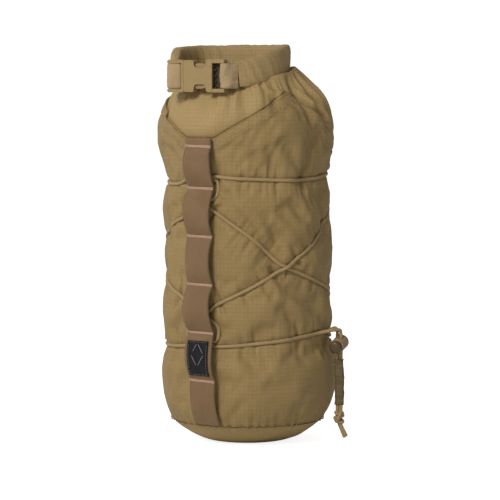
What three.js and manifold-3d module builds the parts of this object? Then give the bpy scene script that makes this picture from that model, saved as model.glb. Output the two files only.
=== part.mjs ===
// Roll-top stuff sack: webbing daisy chains, elastic compression lacing, a side-release buckle on the
// rolled closure and a cord-lock pull. Millimetres. +Z is up, the origin is the centre of the flat
// bottom, and the buckle faces -Y.

import * as THREE from 'three';
import { mergeVertices } from 'three/addons/utils/BufferGeometryUtils.js';
import Module from 'manifold-3d';

const wasm = await Module();
wasm.setup();

// Driving dimensions

const sides = 36;               // facets round the sack
const gap = 0.3;                // clearance between neighbouring pieces
const fabricWall = 1.6;
const seamHeight = 18;          // bottom panel seam
const bottomFlatRadius = 35;
const neckRadius = 42;          // opening at the top of the collar, under the roll
const valleyHeight = 244;       // chevron seam at the daisy chains
const peakHeight = 276;         // chevron seam midway between them

const webbingWidth = 25;
const labelWidth = 18.8;
const webbingThickness = 1.6;
const tackPitch = 38;
const firstTackHeight = 54;
const topTackHeight = 239;
const tackLength = 24;

const cordDiameter = 2.8;
const cordCrossingLift = 3.3;   // how far the outer cord stands off where two cords cross

const strapWidth = 20;          // closure webbing
const strapThickness = 1.7;
const buckleWidth = 25;
const buckleDepth = 9;
const buckleHeight = 294;       // centre of the buckle above the ground
const loopTurn = 12;            // degrees the closure loop is turned from the front
const loopCentre = new THREE.Vector2(0, -25);

const pullAngle = 12.5;         // degrees, where the cord lock hangs
const pullRadius = 79;
const lockHeight = 80;
const lockTilt = 12;            // degrees the cord lock leans from level
const lockRadius = 5.8;
const buttonTravel = 2.2;

// Outside of the filled sack from the bottom seam to the shoulder: height and radius.
const profile = [
  [seamHeight, 61], [24, 64.5], [35, 67.5], [62, 69], [84, 67], [130, 66],
  [212, 66], [232, 68.5], [256, 69], [268, 66.5], [276, 62.5], [282, 56],
];

const rightChain = 65;
const leftChain = 115;
const seamValleys = [-90, 40, 140];
const chains = [
  { side: 'front', angle: -90, bulges: [2, 7.5, 7.5, 3, 7.5, 7.5] },
  { side: 'right', angle: rightChain, bulges: [2, 4.4, 4.4, 3, 4.4, 4.4] },
  { side: 'left', angle: leftChain, bulges: [2, 4.4, 4.4, 3, 4.4, 4.4] },
];

const object = new THREE.Group();

// Materials and meshes

const finishes = {
  ripstop: { color: 0x927a53, roughness: 0.75, metalness: 0 },
  liningRipstop: { color: 0xa38a60, roughness: 0.75, metalness: 0 },
  webbing: { color: 0x7f6548, roughness: 0.85, metalness: 0 },
  thread: { color: 0xbe9b87, roughness: 0.7, metalness: 0 },
  cord: { color: 0x9a825a, roughness: 0.8, metalness: 0 },
  label: { color: 0x23252a, roughness: 0.6, metalness: 0 },
  acetal: { color: 0x998156, roughness: 0.45, metalness: 0 },
  darkAcetal: { color: 0x4a4230, roughness: 0.45, metalness: 0 },
  stiffener: { color: 0x3a3a38, roughness: 0.6, metalness: 0 },
  springSteel: { color: 0xb8b8b8, roughness: 0.3, metalness: 1 },
};

function addPiece(name, geometry, finish, parent = object) {
  const mesh = new THREE.Mesh(geometry, new THREE.MeshStandardMaterial(finishes[finish]));
  mesh.name = name;
  parent.add(mesh);
  return mesh;
}

// Solids

function toSolid(geometry) {
  const bare = geometry.clone();
  bare.deleteAttribute('normal');
  bare.deleteAttribute('uv');
  const merged = mergeVertices(bare, 1e-4);
  return new wasm.Manifold(new wasm.Mesh({
    numProp: 3,
    vertProperties: new Float32Array(merged.attributes.position.array),
    triVerts: new Uint32Array(merged.index.array),
  }));
}

function toGeometry(solid) {
  const mesh = solid.getMesh();
  const geometry = new THREE.BufferGeometry();
  geometry.setAttribute('position', new THREE.BufferAttribute(mesh.vertProperties, 3));
  geometry.setIndex(new THREE.BufferAttribute(mesh.triVerts, 1));
  return geometry;
}

function boxGeometry([x0, x1], [y0, y1], [z0, z1]) {
  const geometry = new THREE.BoxGeometry(x1 - x0, y1 - y0, z1 - z0);
  return geometry.translate((x0 + x1) / 2, (y0 + y1) / 2, (z0 + z1) / 2);
}

function box(x, y, z) {
  return toSolid(boxGeometry(x, y, z));
}

function join(solids) {
  return solids.reduce((joined, solid) => joined.add(solid));
}

function cut(solid, cutters) {
  return cutters.reduce((rest, cutter) => rest.subtract(cutter), solid);
}

// Skins a stack of rings that all have the same number of points. The ends are closed with the
// section's own triangles; without a section the last ring joins the first.
function loft(rings, section = null) {
  const count = rings[0].length;
  const triangles = [];
  const spans = section ? rings.length - 1 : rings.length;
  for (let ring = 0; ring < spans; ring++) {
    const lower = ring * count;
    const upper = ((ring + 1) % rings.length) * count;
    for (let i = 0; i < count; i++) {
      const next = (i + 1) % count;
      triangles.push([lower + i, lower + next, upper + next]);
      triangles.push([lower + i, upper + next, upper + i]);
    }
  }
  if (section) {
    const contour = THREE.ShapeUtils.isClockWise(section) ? -1 : 1;
    const top = (rings.length - 1) * count;
    for (const [a, b, c] of THREE.ShapeUtils.triangulateShape(section, [])) {
      const corners = THREE.ShapeUtils.isClockWise([section[a], section[b], section[c]]) ? [a, c, b] : [a, b, c];
      const [p, q, r] = contour > 0 ? corners : [corners[0], corners[2], corners[1]];
      triangles.push([p, r, q]);
      triangles.push([top + p, top + q, top + r]);
    }
  }
  const points = rings.flat();
  const volume = triangles.reduce((sum, [a, b, c]) => (
    sum + points[a].dot(new THREE.Vector3().crossVectors(points[b], points[c]))), 0);
  const outward = volume > 0 ? triangles : triangles.map(([a, b, c]) => [a, c, b]);
  const geometry = new THREE.BufferGeometry().setFromPoints(points);
  geometry.setIndex(outward.flat());
  return geometry;
}

function rectangle(width, height) {
  const x = width / 2;
  const y = height / 2;
  return [[-x, -y], [x, -y], [x, y], [-x, y]].map(([u, v]) => new THREE.Vector2(u, v));
}

// A round cord along a curve, as a prism with the given number of sides.
function cordAlong(curve, steps, diameter = cordDiameter, halfSides = 3) {
  const circle = new THREE.Shape().absarc(0, 0, diameter / 2, 0, 2 * Math.PI);
  const options = { extrudePath: curve, steps, curveSegments: halfSides, bevelEnabled: false };
  return new THREE.ExtrudeGeometry(circle, options);
}

// Places on the sack

function radiusAt(height) {
  const last = profile.length - 1;
  if (height <= profile[0][0]) return profile[0][1];
  if (height >= profile[last][0]) return profile[last][1];
  const above = profile.findIndex(([z]) => z > height);
  const [z0, r0] = profile[above - 1];
  const [z1, r1] = profile[above];
  return THREE.MathUtils.mapLinear(height, z0, z1, r0, r1);
}

function polar(degrees, radius, height) {
  const angle = THREE.MathUtils.degToRad(degrees);
  return new THREE.Vector3(radius * Math.cos(angle), radius * Math.sin(angle), height);
}

// Height of the chevron seam: level across each daisy chain, straight up to a peak between chains.
function chevronHeight(degrees) {
  const levelHalf = 10;
  const [nearest, next] = seamValleys.map((angle) => (
    Math.abs(THREE.MathUtils.euclideanModulo(degrees - angle + 180, 360) - 180))).sort((a, b) => a - b);
  const rise = Math.max(0, nearest - levelHalf) / ((nearest + next) / 2 - levelHalf);
  return THREE.MathUtils.lerp(valleyHeight, peakHeight, rise);
}

// One ring of points round the sack; height and radius may depend on the angle.
function ringAround(heightAt, radiusOf) {
  return Array.from({ length: sides }, (_, i) => {
    const degrees = i * 360 / sides;
    const height = heightAt(degrees);
    return polar(degrees, radiusOf(height), height);
  });
}

// Fabric panels

function makeBottomPanel() {
  const outside = [[0, 0], [bottomFlatRadius, 0], [46, 2.6], [55, 8.5], [60.6, seamHeight - gap]];
  const inside = [[59, seamHeight - gap], [53.6, 9.7], [45.2, 4.2], [34.6, fabricWall], [0, fabricWall]];
  const points = [...outside, ...inside].map(([radius, height]) => new THREE.Vector2(radius, height));
  addPiece('bottom_panel', new THREE.LatheGeometry(points, sides).rotateX(Math.PI / 2), 'ripstop');
}

function makeBodyPanel() {
  const topOf = (degrees) => chevronHeight(degrees) - gap / 2;
  const levels = profile.map(([height]) => height).filter((height) => height <= 232);
  const heights = [() => seamHeight + gap / 2, ...levels.slice(1).map((height) => () => height)];
  heights.push((degrees) => (232 + topOf(degrees)) / 2, topOf);
  const outside = heights.map((heightAt) => ringAround(heightAt, radiusAt));
  const inside = heights.map((heightAt) => ringAround(heightAt, (z) => radiusAt(z) - fabricWall));
  addPiece('body_panel', loft([...outside, ...inside.reverse()]), 'ripstop');
}

// The collar runs from the chevron seam over the shoulder to the neck opening under the roll.
function makeCollarPanel() {
  const shoulder = peakHeight + 1;
  const bottomOf = (degrees) => chevronHeight(degrees) + gap / 2;
  const middleOf = (degrees) => (bottomOf(degrees) + shoulder) / 2;
  const outside = [
    ringAround(bottomOf, radiusAt),
    ringAround(middleOf, radiusAt),
    ringAround(() => shoulder, radiusAt),
    ringAround(() => 282, () => 56),
    ringAround(() => 283.2, () => 49),
    ringAround(() => 283.8, () => neckRadius),
  ];
  const inside = [
    ringAround(bottomOf, (z) => radiusAt(z) - fabricWall),
    ringAround(middleOf, (z) => radiusAt(z) - fabricWall),
    ringAround(() => shoulder - 0.4, () => radiusAt(shoulder) - fabricWall),
    ringAround(() => 280.8, () => 55),
    ringAround(() => 281.6, () => 48.8),
    ringAround(() => 282.2, () => neckRadius),
  ];
  addPiece('collar_panel', loft([...outside, ...inside.reverse()]), 'liningRipstop');
}

// Daisy chains

// A flat band standing on the sack: edges left and right of the chain's centre line, stations of
// height and stand-off from the fabric.
function ribbon(angle, [left, right], stations, thickness) {
  const outward = polar(angle, 1, 0);
  const sideways = polar(angle + 90, 1, 0);
  const corner = (offset, radius, height) => (
    outward.clone().multiplyScalar(radius).addScaledVector(sideways, offset).setZ(height));
  const rings = stations.map(([height, lift]) => {
    const inner = radiusAt(height) + lift;
    const outer = inner + thickness;
    return [
      corner(left, inner, height), corner(right, inner, height),
      corner(right, outer, height), corner(left, outer, height),
    ];
  });
  return loft(rings, rectangle(right - left, thickness));
}

const tackHeights = [0, 1, 2, 3, 4].map((i) => firstTackHeight + i * tackPitch);
tackHeights.push(topTackHeight);

// The webbing lies flat at every tack and stands off as a loop between tacks.
function chainStations(bulges) {
  const flatLift = 0.5;
  const ramp = 4.5;
  const tackHalf = 1.5;
  const stations = [[seamHeight + 1.5, flatLift + 0.2]];
  let from = 24;
  tackHeights.forEach((tack, i) => {
    stations.push([from + ramp, bulges[i]], [tack - ramp, bulges[i]]);
    stations.push([tack - tackHalf, flatLift], [tack + tackHalf, flatLift]);
    from = tack;
  });
  stations.push([topTackHeight + ramp, flatLift]);
  return stations;
}

function makeDaisyChain({ side, angle, bulges }) {
  const half = webbingWidth / 2;
  const stations = chainStations(bulges);
  addPiece(`${side}_daisy_chain`, ribbon(angle, [-half, half], stations, webbingThickness), 'webbing');
  const tackLift = 0.5 + webbingThickness + gap;
  tackHeights.forEach((tack, i) => {
    const tackStations = [[tack - 1, tackLift], [tack + 1, tackLift]];
    const reach = [-tackLength / 2, tackLength / 2];
    addPiece(`${side}_bartack_${tackHeights.length - i}`, ribbon(angle, reach, tackStations, 0.7), 'thread');
  });
}

function makeLabel() {
  const lift = chains[0].bulges[1] + webbingThickness + gap;
  const stations = [[60, lift], [62, lift], [84, lift], [86, lift]];
  addPiece('label', ribbon(chains[0].angle, [-labelWidth / 2, labelWidth / 2], stations, 0.5), 'label');
}

// Compression lacing: one elastic cord

const cordStandoff = cordDiameter / 2 + 0.9;
const laceRadius = 66;          // radius at which distances round the sack are measured

// A point of the lacing laid out flat: distance round the sack, height, lift off the fabric.
function lace(chainAngle, offset, height, lift = 0) {
  return new THREE.Vector3(THREE.MathUtils.degToRad(chainAngle) * laceRadius + offset, height, lift);
}

function hangingLace(angle, height, radius) {
  return lace(angle, 0, height, radius - radiusAt(height) - cordStandoff);
}

class LacingCurve extends THREE.Curve {
  constructor(points) {
    super();
    this.arcLengthDivisions = 3000;
    this.flat = new THREE.CatmullRomCurve3(points, false, 'centripetal');
  }

  getPoint(t) {
    const { x, y: height, z: lift } = this.flat.getPoint(t);
    const degrees = THREE.MathUtils.radToDeg(x / laceRadius);
    return polar(degrees, radiusAt(height) + cordStandoff + lift, height);
  }
}

// From the upper loop of a lacing point down round the end of a tack into the next loop. `hand` is
// +1 when the cord starts on the right of the chain; `over` says that it passes outside its twin.
function turnRoundTack(chainAngle, hand, over, ringHeight, tack, exitHeight) {
  const lift = over ? cordCrossingLift : 0;
  const edge = 14;
  const mid = 8;
  const arcOut = 16.2;
  const towards = Math.sign(exitHeight - ringHeight);
  const beforeTack = tack - towards * 5.8;
  const afterTack = tack + towards * 6;
  const midRing = (t) => THREE.MathUtils.lerp(ringHeight, beforeTack, t);
  const midExit = (t) => THREE.MathUtils.lerp(afterTack, exitHeight, t);
  return [
    lace(chainAngle, hand * edge, midRing(0)),
    lace(chainAngle, hand * mid, midRing(0.25), lift),
    lace(chainAngle, 0, midRing(0.5), lift),
    lace(chainAngle, -hand * mid, midRing(0.75), lift),
    lace(chainAngle, -hand * edge, midRing(1)),
    lace(chainAngle, -hand * arcOut, tack),
    lace(chainAngle, -hand * edge, midExit(0)),
    lace(chainAngle, -hand * mid, midExit(0.25), lift),
    lace(chainAngle, 0, midExit(0.5), lift),
    lace(chainAngle, hand * mid, midExit(0.75), lift),
    lace(chainAngle, hand * edge, midExit(1)),
  ];
}

const topRingHeight = 213;
const topRingAtFront = 215.2;
const bottomRingAtFront = 81.2;
const bottomRingHeight = 83;
const upperExit = 187;
const lowerExit = 114;
const crossingHeight = 150;
const upperSide = 193;
const lowerSide = 112;
// How far along each panel its two diagonals meet, and at what height.
const rightMeeting = [0.42, 142];
const backMeeting = [0.5, 152];
const leftMeeting = [0.46, 148];
const upperTack = tackHeights[4];
const lowerTack = tackHeights[1];

// A diagonal rises or falls across one panel and meets its twin half way.
function diagonal([fromAngle, fromHeight], [toAngle, toHeight], over, [share, meeting]) {
  const lift = over ? cordCrossingLift : 0;
  const near = 7;
  const span = toAngle - fromAngle;
  const slope = (toHeight - fromHeight) / (span * laceRadius * Math.PI / 180 - 28);
  const centre = fromAngle + span * share;
  return [
    lace(fromAngle + span * share * 0.58, 0, THREE.MathUtils.lerp(fromHeight, meeting, 0.46)),
    lace(centre, -near, meeting - slope * near),
    lace(centre, 0, meeting, lift),
    lace(centre, near, meeting + slope * near),
    lace(centre + (toAngle - centre) * 0.42, 0, THREE.MathUtils.lerp(meeting, toHeight, 0.54)),
  ];
}

function throughChain(angle, height) {
  const bow = Math.sign(height - crossingHeight) * 1.5;
  return [-14, 0, 14].map((offset) => lace(angle, offset, height + (offset ? 0 : bow)));
}

function topRing() {
  return [240, 200, 160, leftChain, 90, rightChain, 30, 0, -45].map((angle) => lace(angle, 0, topRingHeight));
}

function lacingPoints() {
  const lockTop = lockHeight + 9.5;
  const lowerTurn = (angle, hand, over) => (
    turnRoundTack(angle, hand, over, bottomRingAtFront, lowerTack, lowerExit));
  const upperTurn = (angle, hand, over) => (
    turnRoundTack(angle, hand, over, topRingAtFront, upperTack, upperExit));
  const firstHalf = [
    hangingLace(pullAngle, lockTop, pullRadius + 1.5),
    hangingLace(pullAngle - 1, lockTop + 4.5, pullRadius + 1.3),
    hangingLace(pullAngle - 5, lockTop + 5, pullRadius - 2.5),
    lace(2, 0, 90, 2),
    ...[-10, -35, -60].map((angle) => lace(angle, 0, bottomRingHeight)),
    ...lowerTurn(-90, 1, false),
    ...diagonal([-90, lowerExit], [rightChain, upperSide], true, rightMeeting),
    ...throughChain(rightChain, upperSide),
    ...diagonal([rightChain, upperSide], [leftChain, lowerSide], false, backMeeting),
    ...throughChain(leftChain, lowerSide),
    ...diagonal([leftChain, lowerSide], [270, upperExit], false, leftMeeting),
    ...upperTurn(270, -1, false).reverse(),
  ];
  const secondHalf = [
    ...topRing(),
    ...upperTurn(-90, 1, true),
    ...diagonal([-90, upperExit], [rightChain, lowerSide], false, rightMeeting),
    ...throughChain(rightChain, lowerSide),
    ...diagonal([rightChain, lowerSide], [leftChain, upperSide], true, backMeeting),
    ...throughChain(leftChain, upperSide),
    ...diagonal([leftChain, upperSide], [270, lowerExit], true, leftMeeting),
    ...lowerTurn(270, -1, true).reverse(),
    ...[240, 200, 160, leftChain, 90].map((angle) => lace(angle, 0, bottomRingHeight)),
    ...[14, 0, -13].map((offset) => lace(rightChain, offset, bottomRingHeight)),
    lace(38, 0, 83.6),
    lace(24, 0, 86, 0.6),
    lace(16.5, 0, 90, 1),
    hangingLace(pullAngle + 2.5, lockTop + 6.5, pullRadius - 5),
    hangingLace(pullAngle + 0.5, lockTop + 4, pullRadius - 1.9),
    hangingLace(pullAngle, lockTop, pullRadius - 1.5),
  ];
  return [...firstHalf, ...secondHalf];
}

function makeShockCord() {
  addPiece('shock_cord', cordAlong(new LacingCurve(lacingPoints()), 300), 'cord');
}

// Rolled closure

// A point of the closure loop: along the buckle, forwards towards the buckle, height.
function loopPoint(along, forward, height) {
  const angle = THREE.MathUtils.degToRad(loopTurn);
  return new THREE.Vector3(
    loopCentre.x + along * Math.cos(angle) + forward * Math.sin(angle),
    loopCentre.y + along * Math.sin(angle) - forward * Math.cos(angle),
    height,
  );
}

const rollPath = new THREE.CatmullRomCurve3([
  [-35, 20, 296], [-38, 8, 299], [-38, -10, 303], [-30, -27, 305.5], [-5, -31, 306], [22, -30, 306],
  [38, -24, 305.5], [44, -10, 305], [40, 8, 302], [32, 21, 298], [25, 29, 295],
].map((point) => loopPoint(...point)));

// The section of the rolled fabric, open below where the inner turn leaves it.
function rollSection(halfThickness, halfHeight) {
  const slit = 18;
  const points = 12;
  const wall = 2.4;
  const arc = (x, y) => Array.from({ length: points }, (_, i) => {
    const angle = THREE.MathUtils.degToRad(-90 + slit + i * (360 - 2 * slit) / (points - 1));
    return new THREE.Vector2(x * Math.cos(angle), y * Math.sin(angle));
  });
  return [...arc(halfThickness, halfHeight), ...arc(halfThickness - wall, halfHeight - wall).reverse()];
}

// Sweeps an upright section along the roll. The section may change with the distance t, 0 to 1.
function alongRoll(sectionAt, [start, end], steps) {
  const rings = [];
  for (let i = 0; i <= steps; i++) {
    const t = THREE.MathUtils.lerp(start, end, i / steps);
    const centre = rollPath.getPointAt(t);
    const tangent = rollPath.getTangentAt(t).setZ(0).normalize();
    const across = new THREE.Vector3(tangent.y, -tangent.x, 0);
    rings.push(sectionAt(t).map(({ x, y }) => (
      centre.clone().addScaledVector(across, x).setZ(centre.z + y))));
  }
  return loft(rings, sectionAt(start));
}

function makeRolledClosure() {
  const fullness = (t) => Math.min(1, Math.sin(Math.PI * t) * 1.6);
  const section = (t) => rollSection(4.6 + 2.9 * fullness(t), 10 + 4 * fullness(t));
  addPiece('roll_closure', alongRoll(section, [0, 1], 26), 'ripstop');
  const stiffener = rectangle(1, 12);
  addPiece('mouth_stiffener', alongRoll(() => stiffener, [0.06, 0.94], 20), 'stiffener');
}

// Side-release buckle. In its group, x runs from the plug to the socket, y points back towards the
// sack and z is up; x = 0 is the mouth of the socket.

const buckleAt = { along: -22, forward: 38 };
const buckleHalf = buckleWidth / 2;
const railInner = strapWidth / 2 + 0.4;
const cavityHalf = 10;
const socketLength = 24;
const socketEnd = 34.3;

const buckle = new THREE.Group();
buckle.position.copy(loopPoint(buckleAt.along, buckleAt.forward, buckleHeight));
buckle.rotation.z = THREE.MathUtils.degToRad(loopTurn);
object.add(buckle);

function rails([x0, x1], halfDepth) {
  return [1, -1].map((sign) => box(
    [x0, x1], [-halfDepth, halfDepth], [sign * railInner, sign * buckleHalf].sort((a, b) => a - b)));
}

function makeSocket() {
  const depth = buckleDepth / 2;
  const cavity = box([-1, 20.5], [-2.9, 2.9], [-cavityHalf, cavityHalf]);
  const notches = [1, -1].map((sign) => box(
    [8.6, 18.6], [-depth - 1, depth + 1], [sign * 6.6, sign * (buckleHalf + 1)].sort((a, b) => a - b)));
  const body = box([0, socketLength], [-depth, depth], [-buckleHalf, buckleHalf]);
  const ears = rails([socketLength - 1, socketEnd], 2.6);
  const bar = box([30.2, socketEnd], [-1.8, 1.8], [-buckleHalf + 1, buckleHalf - 1]);
  const socket = join([cut(body, [cavity, ...notches]), ...ears, bar]);
  addPiece('buckle_socket', toGeometry(socket), 'acetal', buckle);
}

function makePlug() {
  const shoulder = box([-4, -gap], [-4, 4], [-buckleHalf, buckleHalf]);
  const root = box([-1, 0.5], [-2.6, 2.6], [-cavityHalf + gap, cavityHalf - gap]);
  const tongue = box([0, 19], [-1.2, 1.2], [-1.7, 1.7]);
  const bar = box([-12.4, -7], [-1.4, 1.4], [-buckleHalf + 1, buckleHalf - 1]);
  const plug = join([shoulder, root, tongue, bar, ...rails([-14, -3.5], 2.5)]);
  addPiece('buckle_plug', toGeometry(plug), 'acetal', buckle);
}

// A springy prong with the shoulder that catches in the socket's side window.
function makeProng(name, side) {
  const outline = new THREE.Shape([
    [0.8, 5.9], [8.4, 5.9], [9.4, 4.9], [17.2, 4.9], [18.4, 6.4],
    [18.4, 8.4], [16.4, 9.7], [9.2, 9.7], [8.4, 8.1], [0.8, 8.1],
  ].map(([x, z]) => new THREE.Vector2(x, side * z)));
  const depth = 4.6;
  const prong = new THREE.ExtrudeGeometry(outline, { depth, bevelEnabled: false });
  prong.translate(0, 0, -depth / 2).rotateX(Math.PI / 2);
  addPiece(name, prong, 'acetal', buckle);
}

// A webbing tab folded round a buckle bar, with a doubled tail; outlines lie in the plan.
function makeTab(name, outline, hole) {
  const toVectors = (points) => points.map(([x, y]) => new THREE.Vector2(x, y));
  const shape = new THREE.Shape(toVectors(outline));
  shape.holes.push(new THREE.Path(toVectors(hole)));
  const tab = new THREE.ExtrudeGeometry(shape, { depth: strapWidth, bevelEnabled: false });
  tab.translate(0, 0, -strapWidth / 2);
  addPiece(name, tab, 'webbing', buckle);
}

function makeTabs() {
  const wrap = strapThickness;
  const tail = 2 * strapThickness;
  makeTab('plug_tab', [
    [-4.9, 1.8 + wrap], [-14.6 + tail, 1.8 + wrap], [-14.6 + tail, 16.4], [-14.6, 16.4],
    [-14.6, -2.2], [-13.2, -1.8 - wrap], [-4.9, -1.8 - wrap],
  ], [[-6.6, -1.8], [-12.8, -1.8], [-12.8, 1.8], [-6.6, 1.8]]);
  makeTab('socket_tab', [
    [28.1, -2.2 - wrap], [35, -2.2 - wrap], [36.4, -1.6], [45, 5.4], [43.4, 8.6],
    [35.4, 2.2 + wrap], [28.1, 2.2 + wrap],
  ], [[29.8, -2.2], [34.7, -2.2], [34.7, 2.2], [29.8, 2.2]]);
}

// Cord lock and pull. In this group x points away from the sack, y runs round the sack and z is up;
// the origin is where the cords pass through the lock.

const pull = new THREE.Group();
pull.position.copy(polar(pullAngle, pullRadius, lockHeight));
pull.rotation.z = THREE.MathUtils.degToRad(pullAngle);
object.add(pull);

const lock = new THREE.Group();
lock.rotation.x = THREE.MathUtils.degToRad(lockTilt);
pull.add(lock);

// A cylinder lying along y.
function rod(radius, [y0, y1], segments = 20) {
  const geometry = new THREE.CylinderGeometry(radius, radius, y1 - y0, segments);
  return toSolid(geometry.translate(0, (y0 + y1) / 2, 0));
}

const boreRadius = 4.3;
const barrelMouth = -6.2;
const barrelEnd = 8.6;
const slotHalf = 3.2;

function makeCordLock() {
  const bore = rod(boreRadius, [barrelMouth - 1, 7.6]);
  const cordSlot = box([-slotHalf, slotHalf], [-3.1, 3.1], [-lockRadius - 2, lockRadius + 2]);
  const barrel = cut(rod(lockRadius, [barrelMouth, barrelEnd]), [bore, cordSlot]);
  addPiece('cord_lock_barrel', toGeometry(barrel), 'acetal', lock);

  const cap = rod(4.9, [barrelMouth - buttonTravel - gap - 2.8, barrelMouth - buttonTravel - gap]);
  const stem = rod(boreRadius - gap, [barrelMouth - buttonTravel - 1, 4.4 - 0.4]);
  const buttonSlot = box([-slotHalf, slotHalf], [-3.1 - buttonTravel, 3.1], [-6, 6]);
  const button = cut(join([cap, stem]), [buttonSlot]);
  addPiece('cord_lock_button', toGeometry(button), 'darkAcetal', lock);
}

function makeSpring() {
  const wire = 0.45;
  const radius = 2.6;
  const turns = 2;
  const rise = 0.35;
  class Coil extends THREE.Curve {
    getPoint(t) {
      const angle = 2 * Math.PI * turns * t;
      return new THREE.Vector3(radius * Math.cos(angle), 7.25 - rise * turns * (1 - t), radius * Math.sin(angle));
    }
  }
  addPiece('cord_lock_spring', cordAlong(new Coil(), 24, wire, 2), 'springSteel', lock);
}

function straightCord(x, y, [low, high]) {
  const line = new THREE.LineCurve3(new THREE.Vector3(x, y, low), new THREE.Vector3(x, y, high));
  return toSolid(cordAlong(line, 1));
}

const knotTop = 27 - lockHeight;
const knotBottom = 15 - lockHeight;
const tailEnd = 6 - lockHeight;
const cordHalfSpacing = 1.55;

function makePull() {
  const knot = new THREE.SphereGeometry(1, 14, 10);
  knot.scale(4.8, 4.4, (knotTop - knotBottom) / 2).translate(0, 0, (knotTop + knotBottom) / 2);
  const strands = [-1, 1].flatMap((sign) => {
    const splayed = new THREE.QuadraticBezierCurve3(
      new THREE.Vector3(sign * 1, 0, knotBottom + 2),
      new THREE.Vector3(sign * 1.2, 0, knotBottom - 3),
      new THREE.Vector3(sign * 2.6 + 1.6, sign * 1.5, tailEnd),
    );
    return [straightCord(sign * cordHalfSpacing, 0, [knotTop - 2, 6.5]), toSolid(cordAlong(splayed, 4))];
  });
  addPiece('cord_tails', toGeometry(join([toSolid(knot), ...strands])), 'cord', pull);

  const sleeveTop = 68 - lockHeight;
  const sleeveBottom = 31 - lockHeight;
  const stadium = (halfLength, radius) => {
    const outline = new THREE.Path();
    outline.absarc(halfLength, 0, radius, -Math.PI / 2, Math.PI / 2);
    outline.absarc(-halfLength, 0, radius, Math.PI / 2, 3 * Math.PI / 2);
    return outline.getPoints(5);
  };
  const shape = new THREE.Shape(stadium(cordHalfSpacing, 2.3));
  shape.holes.push(new THREE.Path(stadium(cordHalfSpacing, 1.75)));
  const sleeve = new THREE.ExtrudeGeometry(shape, { depth: sleeveTop - sleeveBottom, bevelEnabled: false });
  addPiece('pull_sleeve', sleeve.translate(0, 0, sleeveBottom), 'ripstop', pull);
}

makeBottomPanel();
makeBodyPanel();
makeCollarPanel();
chains.forEach(makeDaisyChain);
makeLabel();
makeShockCord();
makeRolledClosure();
makeSocket();
makePlug();
makeProng('prong_upper', 1);
makeProng('prong_lower', -1);
makeTabs();
makeCordLock();
makeSpring();
makePull();

export default object;
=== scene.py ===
"""Roll-top stuff sack: the looks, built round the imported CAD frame.

Shapes are worked out in millimetres in the row frame (+Z up, buckle towards -Y) and put into the
scene in metres. Angles round the sack are in degrees, 0 at +X and -90 at the front daisy chain.
"""
import math

import bmesh
import bpy
import numpy as np
from mathutils import Matrix, Vector
from mathutils.kdtree import KDTree


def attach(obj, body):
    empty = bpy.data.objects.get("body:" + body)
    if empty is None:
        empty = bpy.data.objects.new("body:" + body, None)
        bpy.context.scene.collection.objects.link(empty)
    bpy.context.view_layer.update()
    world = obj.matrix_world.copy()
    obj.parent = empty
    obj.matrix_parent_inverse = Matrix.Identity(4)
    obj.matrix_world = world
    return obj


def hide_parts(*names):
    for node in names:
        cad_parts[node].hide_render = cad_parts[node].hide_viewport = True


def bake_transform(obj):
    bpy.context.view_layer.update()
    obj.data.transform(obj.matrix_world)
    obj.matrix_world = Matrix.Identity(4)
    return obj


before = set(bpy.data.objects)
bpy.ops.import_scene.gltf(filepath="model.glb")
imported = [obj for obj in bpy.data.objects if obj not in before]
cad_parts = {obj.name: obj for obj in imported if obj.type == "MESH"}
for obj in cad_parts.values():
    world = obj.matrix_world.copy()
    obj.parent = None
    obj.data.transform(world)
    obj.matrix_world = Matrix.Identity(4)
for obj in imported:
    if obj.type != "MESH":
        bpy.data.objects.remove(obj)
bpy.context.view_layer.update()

MM = 0.001
rng = np.random.default_rng(7)

# Driving dimensions, mm

SEAM_Z = 18.0                    # bottom panel seam
VALLEY_Z, PEAK_Z = 244.0, 281.0  # chevron seam at the chains and midway between them
FRONT, RIGHT, LEFT = -90.0, 65.0, 115.0
SEAM_VALLEYS = (-90.0, 40.0, 140.0)
CHAINS = {"front": FRONT, "right": RIGHT, "left": LEFT}
WEBBING_WIDTH, WEBBING_THICKNESS = 25.0, 1.5
TACKS = [54.0 + 38.0 * i for i in range(5)] + [239.0]
TACK_DEPTH = 1.1                 # how far a tack holds the fabric in
CORD_RADIUS = 1.45
LACE_RADIUS = 66.0               # radius at which distances round the sack are measured
PUCKER_RADIUS = 61.0             # the same, for the puckers of the bottom seam
CROSSING_LIFT, TACK_LIFT = 2.9, 1.2   # of one cord over the other: in the open, and behind webbing
STRAP_WIDTH, STRAP_THICKNESS = 20.0, 1.6
LOOP_TURN = math.radians(12)     # how far the closure loop is turned from the front
LOOP_CENTRE = (0.0, -25.0)
BUCKLE_Z = 294.0
PULL_ANGLE, PULL_RADIUS, LOCK_Z = 12.5, 79.0, 80.0
LOCK_TILT = math.radians(12)

# Height and radius of the filled sack, before cords, folds and bulges.
PROFILE = [
    (0, 54), (18, 61), (24, 64.3), (35, 67.2), (60, 68.8), (84, 66.6), (104, 67.2), (130, 66.4),
    (150, 65.8), (172, 66.6), (192, 67.0), (213, 65.4), (232, 68.2), (254, 68.8), (266, 67.0),
    (276, 63.0), (284, 57.5), (292, 49.0),
]

# ---- small helpers


def unit(vectors):
    return vectors / np.linalg.norm(vectors, axis=-1, keepdims=True)


def lengths(path):
    """Distance along a path up to each of its points."""
    return np.concatenate([[0], np.cumsum(np.linalg.norm(np.diff(path, axis=0), axis=1))])


def tuples(*values):
    """Values spread over a common grid, with one tuple at each of its points."""
    return np.stack(np.broadcast_arrays(*values), axis=-1)


def turns(count):
    """The angles of count equal steps round a circle."""
    return np.arange(count) * 2 * math.pi / count


def apart(degrees, angle):
    """Signed angle from one bearing to others."""
    return (degrees - angle + 180) % 360 - 180


def bell(value, width):
    """1 at 0, falling smoothly away on both sides."""
    return np.exp(-(value / width) ** 2)


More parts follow.
